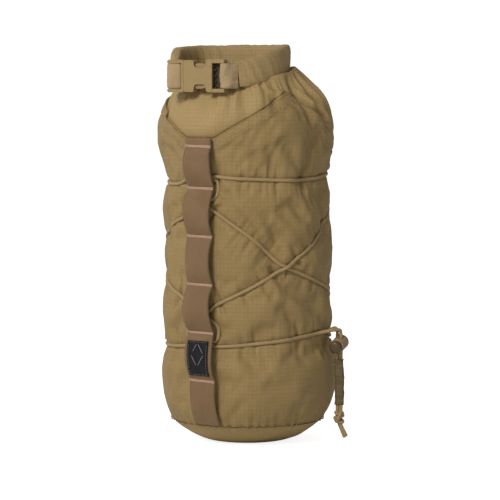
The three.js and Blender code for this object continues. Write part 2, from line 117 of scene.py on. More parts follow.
def smoothstep(value, low, high):
    t = np.clip((value - low) / (high - low), 0, 1)
    return t * t * (3 - 2 * t)


def smoothed(values, width, reach=None):
    """Values averaged under a bell of that width, cut off at reach, or else at three widths."""
    reach = reach or 3 * width
    kernel = np.exp(-0.5 * (np.arange(-reach, reach + 1) / width) ** 2)
    return np.convolve(np.pad(values, reach, mode="edge"), kernel / kernel.sum(), mode="valid")


def random_wave(periods, seed):
    """An irregular wave with the given periods, about -1 to 1."""
    phases = np.random.default_rng(seed).uniform(0, 2 * math.pi, len(periods))
    weight = 1 / math.sqrt(len(periods))

    def wave(x):
        parts = [np.sin(2 * math.pi * x / period + phase) for period, phase in zip(periods, phases)]
        return weight * sum(parts)
    return wave


PLEATS = random_wave((9.7, 13.1, 17.9, 24.3), 3)
FINE_PLEATS = random_wave((5.1, 6.7, 8.3, 11.9), 5)
BROAD_PLEATS = random_wave((17.3, 25.1, 36.7), 29)
SLOW = random_wave((47.0, 61.0, 83.0, 139.0), 11)
PUCKERS = random_wave((6.1, 7.7, 9.4), 17)
CREASES = random_wave((6.3, 8.9, 12.7), 23)


def polar(degrees, radius, height):
    angle = np.radians(degrees)
    return tuples(radius * np.cos(angle), radius * np.sin(angle), height)


def outward_at(degrees):
    return polar(degrees, 1.0, 0.0)


def catmull_rom(points, samples_per_span=16, closed=False):
    """A smooth path through points."""
    points = np.asarray(points, float)
    if closed:
        padded = np.concatenate([points[-1:], points, points[:2]])
    else:
        padded = np.concatenate([2 * points[:1] - points[1:2], points, 2 * points[-1:] - points[-2:-1]])
    result = []
    t = np.linspace(0, 1, samples_per_span, endpoint=False)[:, None]
    for i in range(len(padded) - 3):
        a, b, c, d = padded[i:i + 4]
        result.append(0.5 * (2 * b + (c - a) * t + (2 * a - 5 * b + 4 * c - d) * t ** 2
                             + (3 * b - a - 3 * c + d) * t ** 3))
    if not closed:
        result.append(points[-1:])
    return np.concatenate(result)


def evenly(path, step):
    """The same path with points a fixed step apart."""
    length = lengths(path)
    count = max(2, int(round(length[-1] / step)) + 1)
    at = np.linspace(0, length[-1], count)
    return np.stack([np.interp(at, length, path[:, k]) for k in range(path.shape[1])], axis=1)


# ---- materials


class Shader:
    """A material whose Principled node is fed by a few procedural layers."""

    def __init__(self, name, roughness=0.8, metallic=0.0, specular=0.5):
        self.material = bpy.data.materials.new(name)
        self.material.use_nodes = True
        self.tree = self.material.node_tree
        self.surface = self.tree.nodes["Principled BSDF"]
        self.set("Roughness", roughness)
        self.set("Metallic", metallic)
        self.set("Specular IOR Level", specular)
        self.place = self.node("TexCoord").outputs["Object"]
        self.normal = None

    def feed(self, socket, value):
        if isinstance(value, bpy.types.NodeSocket):
            self.tree.links.new(value, socket)
        else:
            socket.default_value = value

    def set(self, name, value):
        self.feed(self.surface.inputs[name], value)

    def node(self, kind, settings=None, **inputs):
        made = self.tree.nodes.new("ShaderNode" + kind)
        for key, value in (settings or {}).items():
            setattr(made, key, value)
        for key, value in inputs.items():
            self.feed(made.inputs[int(key[1:]) if key[0] == "_" else key], value)
        return made

    def math(self, operation, a, b=0.0, c=0.0):
        return self.node("Math", {"operation": operation}, _0=a, _1=b, _2=c).outputs[0]

    def cloth(self):
        """Millimetres across and along the cloth."""
        flat = self.node("UVMap", {"uv_map": "cloth"}).outputs[0]
        return self.node("SeparateXYZ", _0=flat).outputs[:2]

    def noise(self, scale, detail=2.0):
        made = self.node("TexNoise", Vector=self.place, Scale=scale, Detail=detail, Roughness=0.55)
        return made.outputs["Fac"]

    def spread(self, value, high, low=0.0):
        return self.node("MapRange", _0=value, _1=0.3, _2=0.7, _3=low, _4=high).outputs[0]

    def stripes(self, coordinate, pitch, width):
        """1 on thin lines every pitch, 0 between them."""
        phase = self.math("FRACT", self.math("DIVIDE", coordinate, pitch))
        distance = self.math("ABSOLUTE", self.math("SUBTRACT", phase, 0.5))
        return self.math("GREATER_THAN", distance, 0.5 - width / pitch / 2)

    def wave(self, coordinate, pitch):
        return self.math("SINE", self.math("MULTIPLY", coordinate, 2 * math.pi / pitch))

    def tones(self, colour, *layers):
        """An sRGB base colour, darkened and lightened by layers of (factor socket, tone at factor 1)."""
        current = linear(colour)
        for factor, tone in layers:
            mix = self.node("Mix", {"data_type": "RGBA"}, _0=factor, _6=current, _7=linear(colour, tone))
            current = mix.outputs[2]
        self.set("Base Color", current)

    def bumps(self, *layers):
        """Layers of (height socket, distance in mm, strength), each on top of the last."""
        for height, distance, strength in layers:
            made = self.node("Bump", Height=height, Strength=strength, Distance=distance * MM)
            if self.normal is not None:
                self.feed(made.inputs["Normal"], self.normal)
            self.normal = made.outputs[0]
        self.set("Normal", self.normal)

    def sheen(self, weight, tint):
        self.set("Sheen Weight", weight)
        self.set("Sheen Roughness", 0.45)
        self.set("Sheen Tint", (*tint, 1))


def linear(colour, tone=1.0):
    """An sRGB colour of 0 to 255, times a tone, as a linear RGBA colour."""
    def channel(value):
        value = min(255, value * tone) / 255
        return value / 12.92 if value <= 0.04045 else ((value + 0.055) / 1.055) ** 2.4
    return (*[channel(value) for value in colour], 1.0)


def ripstop_material(name, colour):
    """Plain weave with a thicker thread every few millimetres, sheen, and slow changes of shade."""
    shader = Shader(name, specular=0.3)
    u, v = shader.cloth()
    grid = shader.math("MAXIMUM", *[shader.stripes(way, 3.2, 0.42) for way in (u, v)])
    weave = shader.math("MULTIPLY", *[shader.wave(way, 0.62) for way in (u, v)])
    broad = shader.noise(22.0, 4.0)
    shader.tones(
        colour,
        (shader.spread(broad, 0.42), 0.86),
        (shader.spread(shader.noise(900.0), 0.30), 1.10),
        (shader.math("MULTIPLY", grid, 0.24), 0.80),
    )
    shader.set("Roughness", shader.spread(broad, 0.72, 0.55))
    shader.bumps((weave, 0.05, 0.55), (grid, 0.14, 0.8), (broad, 0.9, 0.35))
    shader.sheen(0.06, (1.0, 0.9, 0.72))
    return shader.material


def webbing_material(name, colour, half_width):
    """Twill webbing: diagonal ribs that turn at the middle, darker selvedges, fuzzy shade changes."""
    shader = Shader(name, 0.82, specular=0.25)
    u, v = shader.cloth()
    mirrored = shader.math("ABSOLUTE", u)
    ribs = shader.wave(shader.math("ADD", mirrored, shader.math("MULTIPLY", v, 0.9)), 1.7)
    fuzz = shader.noise(1300.0)
    edge = shader.math("GREATER_THAN", mirrored, half_width - 0.9)
    shader.tones(
        colour,
        (shader.math("MULTIPLY_ADD", ribs, 0.3, 0.3), 0.72),
        (shader.spread(shader.noise(60.0, 3.0), 0.35), 1.13),
        (shader.spread(fuzz, 0.30), 0.85),
        (shader.math("MULTIPLY", edge, 0.35), 0.78),
    )
    shader.bumps((ribs, 0.16, 0.75), (shader.wave(v, 0.75), 0.06, 0.5), (fuzz, 0.10, 0.4))
    shader.sheen(0.12, (1.0, 0.85, 0.7))
    return shader.material


def cord_material(name, colour):
    """Braided sheath: two families of crossing strands round the cord."""
    shader = Shader(name, 0.7)
    u, v = shader.cloth()
    braid = shader.math("MAXIMUM", *[shader.wave(shader.math(way, v, u), 1.5) for way in ("ADD", "SUBTRACT")])
    shader.tones(
        # The hollows between the strands are painted darker: painted shade.
        colour,
        (shader.spread(shader.noise(90.0, 3.0), 0.4), 0.84),
        (shader.math("MULTIPLY_ADD", braid, -0.14, 0.16), 0.66),
    )
    shader.bumps((braid, 0.16, 0.7))
    shader.sheen(0.12, (1.0, 0.9, 0.72))
    return shader.material


def thread_material(name, colour):
    shader = Shader(name, 0.5)
    grain = shader.noise(1800.0)
    shader.tones(colour, (shader.spread(grain, 0.4), 0.8), (shader.spread(shader.noise(160.0), 0.3), 1.1))
    shader.bumps((grain, 0.05, 0.6))
    shader.sheen(0.3, (1.0, 0.95, 0.9))
    return shader.material


def plastic_material(name, colour, roughness=0.42):
    """Moulded acetal: fine spark texture, faint flow marks and paler rubbed areas."""
    shader = Shader(name, specular=0.45)
    wear = shader.noise(240.0, 3.0)
    flow = shader.noise(45.0, 4.0)
    shader.tones(colour, (shader.spread(flow, 0.35), 0.9), (shader.spread(wear, 0.22), 1.12))
    shader.set("Roughness", shader.spread(wear, roughness + 0.1, roughness - 0.08))
    shader.bumps((shader.noise(2600.0), 0.03, 0.6))
    return shader.material


def label_material(name, colour):
    """Damask-woven label: fine horizontal floats with a matt ground."""
    shader = Shader(name, 0.55, specular=0.2)
    u, v = shader.cloth()
    twill = shader.wave(shader.math("ADD", u, v), 0.7)
    shader.tones(
        colour,
        (shader.spread(shader.noise(1500.0), 0.4), 1.3),
        (shader.math("MULTIPLY_ADD", twill, 0.12, 0.12), 0.6),
    )
    shader.bumps((shader.wave(v, 0.42), 0.06, 0.7), (twill, 0.05, 0.5))
    shader.sheen(0.05, (0.9, 0.9, 1.0))
    return shader.material


def steel_material(name):
    shader = Shader(name, metallic=1.0)
    drawn = shader.noise(1500.0)
    shader.tones((203, 203, 206), (shader.spread(drawn, 0.5), 0.83))
    shader.set("Roughness", shader.spread(drawn, 0.42, 0.22))
    return shader.material


SACK = ripstop_material("sack_ripstop", (153, 127, 80))
# The yoke is a paler panel, and its colour is raised further as painted light from above.
LIT_YOKE = ripstop_material("yoke_ripstop_pale_and_painted_light", (168, 141, 92))
# The roll is the sack's own ripstop painted lighter: painted light on the inner face of the loop.
LIT_ROLL = ripstop_material("roll_ripstop_painted_light", (166, 140, 94))
BASE = ripstop_material("base_ripstop", (172, 144, 92))
SLEEVE = ripstop_material("sleeve_ripstop", (104, 87, 56))
WEBBING = webbing_material("brown_webbing", (136, 107, 75), WEBBING_WIDTH / 2)
TAB = webbing_material("tab_webbing", (182, 155, 116), STRAP_WIDTH / 2)
CORD = cord_material("shock_cord_braid", (172, 145, 97))
TACK_THREAD = thread_material("bartack_thread", (184, 150, 124))
SEAM_THREAD = thread_material("seam_thread", (178, 150, 120))
DARK_THREAD = thread_material("base_seam_thread", (66, 53, 31))
LABEL = label_material("label_weave", (24, 24, 26))
LABEL_THREAD = thread_material("label_thread", (128, 129, 133))
ACETAL = plastic_material("buckle_acetal", (152, 128, 82))
LIGHT_ACETAL = plastic_material("lock_acetal", (150, 124, 92))
SHADED_ACETAL = plastic_material("rib_acetal_painted_shade", (58, 46, 26), 0.6)
DARK_ACETAL = plastic_material("button_acetal", (84, 69, 40))
STEEL = steel_material("spring_steel")

# ---- meshes


def placed(obj, slot, body, *nodes):
    """A finished piece: the body it rides on and the CAD nodes it stands for; slot is not used."""
    if nodes:
        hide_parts(*nodes)
    if body:
        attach(obj, body)


def new_object(name, vertices, faces, material, corner_uv=None):
    """A mesh object from millimetres. corner_uv holds one pair for each corner of each face."""
    mesh = bpy.data.meshes.new(name)
    mesh.from_pydata((np.asarray(vertices, float) * MM).tolist(), [], faces)
    if corner_uv is not None:
        layer = mesh.uv_layers.new(name="cloth")
        layer.data.foreach_set("uv", np.asarray(corner_uv, np.float32).ravel())
    mesh.polygons.foreach_set("use_smooth", [True] * len(mesh.polygons))
    mesh.materials.append(material)
    obj = bpy.data.objects.new(name, mesh)
    bpy.context.scene.collection.objects.link(obj)
    return obj


def sheet(name, points, uv, material, wrap=False, thickness=0.0):
    """A smooth surface through a grid of points (rows, columns, 3). With wrap, the last column meets
    the first. uv is (rows, columns, 2), with one more column when wrapped."""
    rows, columns = points.shape[:2]
    spans = columns if wrap else columns - 1
    row, column = [index.ravel() for index in np.indices((rows - 1, spans))]
    corners = [(row, column), (row, column + 1), (row + 1, column + 1), (row + 1, column)]
    faces = np.stack([r * columns + c % columns for r, c in corners], axis=1)
    corner_uv = np.stack([uv[corner] for corner in corners], axis=1)
    obj = new_object(name, points.reshape(-1, 3), faces.tolist(), material, corner_uv)
    if thickness:
        solid = obj.modifiers.new("thickness", "SOLIDIFY")
        solid.thickness = thickness * MM
        solid.offset = -1
        solid.use_even_offset = True
    return obj


def close_ends(obj, sides, rows):
    """Caps on the first and last rows of a wrapped sheet."""
    editing = bmesh.new()
    editing.from_mesh(obj.data)
    editing.verts.ensure_lookup_table()
    for start in (0, (rows - 1) * sides):
        face = editing.faces.new([editing.verts[start + i] for i in range(sides)])
        face.smooth = True
    bmesh.ops.recalc_face_normals(editing, faces=editing.faces)
    editing.to_mesh(obj.data)
    editing.free()


def frames_along(path):
    """Two steady normals for a path of points, and its tangents."""
    tangents = unit(np.gradient(path, axis=0))
    normals = np.empty_like(path)
    seed = np.cross(tangents[0], (0.0, 0.0, 1.0))
    if np.linalg.norm(seed) < 1e-3:
        seed = np.cross(tangents[0], (0.0, 1.0, 0.0))
    normals[0] = unit(seed)
    for i in range(1, len(path)):
        normals[i] = unit(normals[i - 1] - tangents[i] * np.dot(normals[i - 1], tangents[i]))
    return normals, np.cross(tangents, normals), tangents


def tube(name, path, radius, material, cap=True, sides=10):
    """A round cord along a path; its ends are closed with small domes."""
    path = np.asarray(path, float)
    first, second, tangents = frames_along(path)
    radii = np.full(len(path), float(radius))
    if cap:
        reach = tangents * radius * 0.35
        path = np.concatenate([path[:1] - reach[:1], path, path[-1:] + reach[-1:]])
        first, second, radii = [np.concatenate([a[:1], a, a[-1:]]) for a in (first, second, radii)]
        radii[[0, -1]] *= 0.6
    turn = turns(sides)[None, :, None]
    ring = np.cos(turn) * first[:, None, :] + np.sin(turn) * second[:, None, :]
    points = path[:, None, :] + ring * radii[:, None, None]
    around = np.arange(sides + 1) * 2 * math.pi * radius / sides
    obj = sheet(name, points, tuples(around[None, :], lengths(path)[:, None]), material, wrap=True)
    if cap:
        close_ends(obj, sides, len(path))
    return obj


def ribbon(name, centres, across, outward, width, thickness, material):
    """Webbing: a closed flat band along centres (n, 3), a little higher in the middle than at its
    edges. across and outward are unit vectors (n, 3)."""
    half, crown = width / 2, 0.25
    spread = np.linspace(-half, half, 15)
    rounding = np.sqrt(np.clip(1 - (np.abs(spread) / half) ** 14, 0, 1))
    bow = crown * (1 - (spread / half) ** 2)
    top, bottom = [bow + side * thickness / 2 * rounding for side in (1, -1)]
    offsets = np.concatenate([spread, spread[::-1][1:-1]])
    heights = np.concatenate([top, bottom[::-1][1:-1]])
    points = (centres[:, None, :] + across[:, None, :] * offsets[None, :, None]
              + outward[:, None, :] * heights[None, :, None])
    u = np.append(offsets, offsets[0])
    obj = sheet(name, points, tuples(u[None, :], lengths(centres)[:, None]), material, wrap=True)
    close_ends(obj, len(offsets), len(centres))
    return obj


def joined(name, objects):
    """Several pieces of the same kind as one object."""
    first = objects[0]
    with bpy.context.temp_override(active_object=first, selected_editable_objects=objects):
        bpy.ops.object.join()
    first.name = first.data.name = name
    return first


def thread_bars(name, points, along, outward, length, radius, material):
    """Short thread bars with sunk ends, centred on points: each is a little arched tube."""
    sides = 5
    steps = np.array([-0.5, -0.42, -0.2, 0.2, 0.42, 0.5]) * length
    lift = np.array([-1.0, 0.1, 0.75, 0.75, 0.1, -1.0]) * radius
    size = np.array([0.45, 0.9, 1.0, 1.0, 0.9, 0.45]) * radius
    points, along, outward = [np.asarray(a, float)[:, None, :] for a in (points, along, outward)]
    turn = turns(sides)[None, :, None]
    spokes = outward * np.cos(turn) + np.cross(along, outward) * np.sin(turn)
    centres = points + along * steps[None, :, None] + outward * lift[None, :, None]
    vertices = centres[:, :, None, :] + spokes[:, None, :, :] * size[None, :, None, None]
    last = (len(steps) - 1) * sides
    edges = [(ring + i, ring + (i + 1) % sides) for ring in range(0, last, sides) for i in range(sides)]
    bar = [(a, b, b + sides, a + sides) for a, b in edges]
    bar += [tuple(range(sides))[::-1], tuple(range(last, last + sides))]
    starts = range(0, len(points) * (last + sides), last + sides)
    faces = [tuple(start + i for i in face) for start in starts for face in bar]
    return new_object(name, vertices.reshape(-1, 3), faces, material)


# ---- lacing, laid out flat
# A point is (distance round the sack, height, lift off the fabric).

RING_TOP, RING_BOTTOM = 213.0, 83.0
RING_TOP_FRONT, RING_BOTTOM_FRONT = 215.2, 81.2
EXIT_TOP, EXIT_BOTTOM, CROSSING_Z = 187.0, 114.0, 150.0
SIDE_TOP, SIDE_BOTTOM = 196.0, 112.0
# How far along each panel its two diagonals meet, and at what height.
MEET_RIGHT, MEET_BACK, MEET_LEFT = (0.405, 144.0), (0.5, 152.0), (0.46, 149.0)
LACE_STEP = 0.8
BEHIND = 270.0                   # the front chain again, reached by way of the back


def lace(chain, offset, height, lift=0.0):
    return (math.radians(chain) * LACE_RADIUS + offset, height, lift)


def turn_round_tack(chain, hand, over, ring_z, tack, exit_z):
    """In at one side of the upper loop, behind the webbing, round the tack's end and back."""
    lift = TACK_LIFT if over else 0.0
    towards = math.copysign(1, exit_z - ring_z)
    before, after = tack - towards * 5.8, tack + towards * 6
    beside, past_end = 13.2, 14.9    # from the middle of the webbing: at its edge, and clear of the tack
    reach = [(beside, 0), (8, lift), (0, lift), (-8, lift), (-beside, 0)]

    def pass_behind(way, low, high):
        heights = np.linspace(low, high, len(reach))
        return [lace(chain, way * x, height, up) for (x, up), height in zip(reach, heights)]

    turn = lace(chain, -hand * past_end, tack)
    return [*pass_behind(hand, ring_z, before), turn, *pass_behind(-hand, after, exit_z)]


def diagonal(start, end, over, share, meeting):
    """Across one panel from (chain, height) to (chain, height), meeting its twin on the way."""
    (from_angle, from_z), (to_angle, to_z) = start, end
    span = to_angle - from_angle
    centre = from_angle + span * share
    covered, near = 28, 7            # length hidden behind the two chains; straight part at the crossing
    slope = (to_z - from_z) / (math.radians(span) * LACE_RADIUS - covered)
    return [
        lace(from_angle + span * share * 0.58, 0, from_z + (meeting - from_z) * 0.46),
        lace(centre, -near, meeting - slope * near),
        lace(centre, 0, meeting, CROSSING_LIFT if over else 0.0),
        lace(centre, near, meeting + slope * near),
        lace(centre + (to_angle - centre) * 0.42, 0, meeting + (to_z - meeting) * 0.54),
    ]


def zigzag(heights, over):
    """From the front chain round the sack to it again, behind the right and left chains."""
    stops = list(zip((FRONT, RIGHT, LEFT, BEHIND), heights))
    points = []
    for start, end, lifted, meeting in zip(stops, stops[1:], over, (MEET_RIGHT, MEET_BACK, MEET_LEFT)):
        points += diagonal(start, end, lifted, *meeting)
        chain, height = end
        if chain != BEHIND:
            bow = math.copysign(1.5, height - CROSSING_Z)
            points += [lace(chain, -14, height), lace(chain, 0, height + bow), lace(chain, 14, height)]
    return points


def level(height, *steps):
    """Part of a ring, from (angle, rise) pairs."""
    return [lace(angle, 0, height + rise) for angle, rise in steps]


def hanging(turn, height, from_lock):
    """A point of the cord in the air beside the lock."""
    lock_top = 9.5
    height = LOCK_Z + lock_top + height
    lift = PULL_RADIUS + from_lock - float(smooth_profile(height)) - CORD_RADIUS
    return lace(PULL_ANGLE + turn, 0, height, lift)


def lacing_points():
    bottom_turn = (RING_BOTTOM_FRONT, TACKS[1], EXIT_BOTTOM)
    top_turn = (RING_TOP_FRONT, TACKS[4], EXIT_TOP)
    return [
        hanging(0, 0, 1.5),
        hanging(-1, 2.0, 0.9),
        hanging(-5, 2.2, -3),
        lace(2, 0, 89.6, 1.2),
        *level(RING_BOTTOM, (-10, 4.9), (-35, 2.4), (-62, -0.6)),
        *turn_round_tack(FRONT, 1, False, *bottom_turn),
        *zigzag((EXIT_BOTTOM, SIDE_TOP, SIDE_BOTTOM, EXIT_TOP), (True, False, False)),
        *turn_round_tack(BEHIND, -1, False, *top_turn)[::-1],
        *level(RING_TOP, (240, -4.6), (200, -3), (160, -1), (LEFT, 0), (90, 0)),
        *level(RING_TOP, (RIGHT, 2.0), (34, 3.4), (8, 0.6), (-20, -0.8), (-60, 0.6)),
        *turn_round_tack(FRONT, 1, True, *top_turn),
        *zigzag((EXIT_TOP, SIDE_BOTTOM, SIDE_TOP, EXIT_BOTTOM), (False, True, True)),
        *turn_round_tack(BEHIND, -1, True, *bottom_turn)[::-1],
        *level(RING_BOTTOM, (240, -4.2), (200, -4), (160, -1), (LEFT, 0), (90, 0)),
        *[lace(RIGHT, offset, RING_BOTTOM) for offset in (14, 0, -13)],
        lace(38, 0, 83.6),
        lace(24, 0, 86, 0.6),
        lace(16.5, 0, 89.5, 1),
        hanging(2.5, 3.0, -5),
        hanging(0.5, 1.9, -1.9),
        hanging(0, 0, -1.5),
    ]


# ---- the filled sack's surface

PROFILE_HEIGHTS = np.arange(-20.0, 320.0, 1.0)
PROFILE_RADII = smoothed(np.interp(PROFILE_HEIGHTS, *zip(*PROFILE)), 4.5, 12)


def smooth_profile(height):
    return np.interp(height, PROFILE_HEIGHTS, PROFILE_RADII)


def chevron_z(degrees):
    """Height of the chevron seam: level across each chain, straight up to a peak between chains."""
    level_to, tip = 10.5, 0.94       # degrees; share of the rise at which the peak's rounding starts
    near, far, _ = np.sort([np.abs(apart(degrees, chain)) for chain in SEAM_VALLEYS], axis=0)
    rise = np.clip((near - level_to) / ((near + far) / 2 - level_to), 0, 1)
    bend = (1 - tip) * np.sin((rise - tip) / (1 - tip) * math.pi / 2) * 0.64
    rounded = np.where(rise > tip, tip + bend, rise)
    return VALLEY_Z + (PEAK_Z - VALLEY_Z) * rounded


LACE_FLAT = evenly(catmull_rom(lacing_points(), 12), LACE_STEP)

FOLD_GAIN = 1.7

# Soft folds: from angle and height to angle and height, half width in mm, depth in mm (up is minus).
FOLDS = [
    # round the collar
    (-19, 278, 5, 262, 3.0, 2.2), (-6, 281, 16, 266, 2.8, 1.9), (-14, 274, 8, 254, 4.5, -1.0),
    (-17, 290, -8, 262, 3.6, 3.6), (-2, 292, 9, 258, 4.2, 4.0), (13, 290, 23, 262, 4.2, 3.4),
    (30, 288, 38, 262, 4.0, 2.6), (-42, 288, -35, 266, 4.5, 2.0), (-9, 288, 3, 260, 4.0, -1.6),
    (6, 288, 15, 262, 4.0, -1.4), (-60, 290, -56, 262, 5.0, 1.6), (-88, 286, -84, 264, 6.0, 1.4),
    (50, 286, 52, 262, 5, 2.2), (74, 288, 70, 262, 5, 2.0), (98, 288, 100, 264, 5, 2.2),
    (126, 288, 122, 262, 5, 2.0), (150, 288, 154, 264, 5, 2.4), (178, 288, 174, 260, 5, 2.2),
    (204, 288, 208, 264, 5, 2.4), (232, 288, 228, 262, 5, 2.0),
    # the front right panel
    (-58, 182, -36, 151, 5.2, 2.3), (-40, 146, -21, 120, 5.0, 2.1), (-25, 196, -16, 182, 4.0, 1.8),
    (-6, 210, 1, 168, 5.5, 1.9), (-64, 196, -46, 168, 5.5, -1.2), (-30, 112, -20, 98, 5, 1.5),
    (-77, 206, -49, 160, 3.0, -1.1), (-74, 203, -52, 168, 4.5, 1.3), (-42, 184, -31, 158, 5.5, 2.4),
    (-36, 182, -24, 166, 5.0, -1.2), (-52, 232, -47, 212, 5, 1.2), (-40, 236, -38, 213, 4, 1.4),
    (-8, 245, -14, 213, 6, 2.0), (-14, 210, -9, 188, 5, 1.5), (6, 200, 16, 172, 6, 2.2),
    (12, 214, 14, 190, 4, 1.3), (-60, 84, -50, 60, 5, 1.6), (-44, 98, -54, 84, 6, 1.6),
    (-47, 84, -40, 52, 6, 1.5), (-20, 128, -4, 108, 7, 1.9), (-3, 116, 8, 96, 6, 1.7),
    (-30, 120, -22, 92, 7, 1.4), (-74, 250, -60, 226, 8, 1.3), (-27, 243, -22, 222, 6, 1.2),
    # the front left panel and the base
    (-107, 208, -112, 160, 4, 1.8), (-118, 205, -114, 170, 4, 2.0), (-124, 160, -112, 120, 5, 1.8),
    (-104, 112, -118, 88, 6, 1.9), (-108, 80, -122, 40, 6, 1.6), (-75, 56, -78, 24, 5, 1.1),
    (-60, 40, -66, 20, 4, 0.9), (-14, 44, -20, 22, 5, 0.8), (-118, 236, -112, 214, 5, 1.8),
    # the back
    (70, 206, 62, 170, 6, 1.8), (90, 128, 100, 92, 7, 1.8), (112, 210, 118, 182, 5, 1.6),
    (75, 76, 66, 44, 7, 1.5), (104, 240, 98, 214, 6, 1.4), (132, 130, 122, 98, 6, 1.6),
    (190, 206, 184, 168, 6, 1.9), (205, 130, 214, 94, 7, 1.8), (176, 78, 186, 44, 6, 1.5),
    (222, 236, 216, 212, 6, 1.6), (232, 190, 224, 166, 5, 1.4), (172, 128, 178, 96, 5, 1.5),
]

# Where the filling bulges: angle, half width in degrees, height, half height, amount in mm.
SWELLS = [(34, 21, 128, 55, 3.0), (34, 24, 262, 20, 1.6), (-146, 26, 254, 24, 3.4), (-75, 20, 262, 16, 1.0)]


def across_from(degrees, angle):
    """Distance round the sack from one bearing to others."""
    return apart(degrees, angle) * math.radians(1) * LACE_RADIUS


def fold_depth(degrees, height):
    """How far the soft folds push the fabric in."""
    total = np.zeros(degrees.shape)
    for from_angle, from_z, to_angle, to_z, half_width, depth in FOLDS:
        x = across_from(degrees, from_angle)
        dx, dz = math.radians(to_angle - from_angle) * LACE_RADIUS, to_z - from_z
        along = np.clip((x * dx + (height - from_z) * dz) / (dx * dx + dz * dz), -0.25, 1.25)
        gap = np.hypot(x - along * dx, height - from_z - along * dz)
        fade = np.sin(np.clip((along + 0.25) / 1.5, 0, 1) * math.pi) ** 0.8
        total += FOLD_GAIN * depth * fade * bell(gap, half_width)
    return total


def lace_tree():
    """Nearest-cord lookup for fabric points, over the parts of the cord that press on the fabric."""
    tree = KDTree(len(LACE_FLAT))
    for i, (x, height, lift) in enumerate(LACE_FLAT):
        if lift < 1.4:
            angle = x / LACE_RADIUS
            tree.insert((LACE_RADIUS * math.cos(angle), LACE_RADIUS * math.sin(angle), height), i)
    tree.balance()
    return tree


LACE_TREE = lace_tree()


def lace_distance(degrees, height):
    """Distance from each fabric point to the cord, and how far along the cord that is."""
    flat = polar(degrees, LACE_RADIUS, height).reshape(-1, 3)
    found = [LACE_TREE.find(point) for point in flat.tolist()]
    index, distance = [np.array([f[k] for f in found]).reshape(np.shape(degrees)) for k in (1, 2)]
    return distance, index * LACE_STEP


def tack_pull(degrees, height):
    """Each tack holds the fabric in at both ends of its row of stitches."""
    half_row, width = 13, 6.5
    total = np.zeros(degrees.shape)
    for chain in CHAINS.values():
        for tack in TACKS:
            for end in (-half_row, half_row):
                gap = np.hypot(across_from(degrees, chain) - end, (height - tack) * 0.8)
                total += TACK_DEPTH * bell(gap, width)
    return total


def skin_radius(degrees, height):
    """Radius of the filled sack's fabric, with the cord's grooves, pleats, folds and bulges."""
    degrees, height = np.broadcast_arrays(np.asarray(degrees, float), np.asarray(height, float))
    distance, along = lace_distance(degrees, height)
    x = np.radians(degrees) * LACE_RADIUS
    radius = smooth_profile(height)
    for angle, width, centre, reach, amount in SWELLS:
        radius = radius + amount * bell(apart(degrees, angle), width) * bell(height - centre, reach)
    pleats = np.maximum(PLEATS(along) - 0.15, 0) ** 1.2 * 1.5 + np.maximum(FINE_PLEATS(along) - 0.35, 0) * 0.6
    valley, groove = 1.5 * bell(distance, 17), 1.5 * bell(distance, 2.6)
    dips = valley + groove + pleats * bell(distance - 4.0, 9.0)
    broad = 0.9 * SLOW(x + 0.35 * height) + 0.54 * SLOW(1.7 * x - 0.8 * height + 40)
    fade = smoothstep(height, 18, 34)
    return radius + fade * (broad - dips - fold_depth(degrees, height) - tack_pull(degrees, height))


# ---- body panel

BAND = 8.2                       # height of the felled band under the chevron seam
STITCH_ROWS = (1.7, 7.4)         # rows of stitches below the chevron edge


def around(columns):
    """Angles of a wrapped sheet's columns from the front, and the same with a closing column for its UVs."""
    degrees = -90 + np.arange(columns + 1) * 360 / columns
    return degrees[:-1], degrees


def cloth_uv(degrees, heights):
    """UVs in mm for a wrapped sheet. heights has one column for each angle but the last."""
    closed = np.concatenate([heights, heights[:, :1]], axis=1)
    return tuples(np.radians(degrees) * LACE_RADIUS, closed)


def body_surface(degrees, height):
    """Radius of the body panel, with its felled band and its gathered bottom edge."""
    band_thickness, band_middle, stitch_dip = 1.0, 4.5, 0.45
    below = chevron_z(degrees) - height
    radius = skin_radius(degrees, height) + band_thickness * (1 - smoothstep(below, BAND, BAND + 1.0))
    for row in STITCH_ROWS:
        radius = radius - stitch_dip * bell(below - row, 0.9)
    band_ripple = FINE_PLEATS(np.radians(degrees) * 60) * 0.22 * bell(below - band_middle, 3.5)
    gathered = PUCKERS(np.radians(degrees) * PUCKER_RADIUS) * 0.75 * np.exp(-(height - SEAM_Z) / 6.0)
    return radius + band_ripple + gathered


SETTLE_STEP = 5                   # the cloth is simulated on every fifth point of the fabric grid
SETTLE_FRAMES = 20
SETTLE_CAP = 3.0                  # most that the simulation may move the fabric, in mm
SETTLE_CLOTH = {
    "quality": 5, "mass": 0.2, "tension_stiffness": 20, "compression_stiffness": 20, "shear_stiffness": 8,
    "bending_stiffness": 4, "vertex_group_mass": "held", "shrink_min": -0.018, "use_pressure": True,
    "uniform_pressure_force": 3,
}


def held_fabric(degrees, height):
    """1 where the fabric is held, by a cord, a seam or webbing, and 0 where it is free to move."""
    distance, _ = lace_distance(degrees, height)
    loose = [smoothstep(distance, 2.0, 4.5), smoothstep(chevron_z(degrees) - height, BAND + 1, BAND + 6),
             smoothstep(height - SEAM_Z, 2, 8)]
    loose += [smoothstep(np.abs(across_from(degrees, chain)), 13, 18) for chain in CHAINS.values()]
    return 1 - np.min(loose, axis=0)


def spread_out(coarse, rows, columns):
    """A wrapped grid of values, one for every few points, as a smooth grid of rows and columns."""
    def cubic(values, places, wrapped):
        first = np.floor(places).astype(int)
        t = (places - first)[:, None, None]
        before, start, end, after = [
            values[(first + k) % len(values)] if wrapped else values[np.clip(first + k, 0, len(values) - 1)]
            for k in (-1, 0, 1, 2)]
        return start + 0.5 * t * (end - before + t * (2 * before - 5 * start + 4 * end - after
                                                       + t * (3 * (start - end) + after - before)))

    tall = cubic(coarse, np.linspace(0, coarse.shape[0] - 1, rows), False)
    return cubic(tall.swapaxes(0, 1), np.arange(columns) / SETTLE_STEP, True).swapaxes(0, 1)


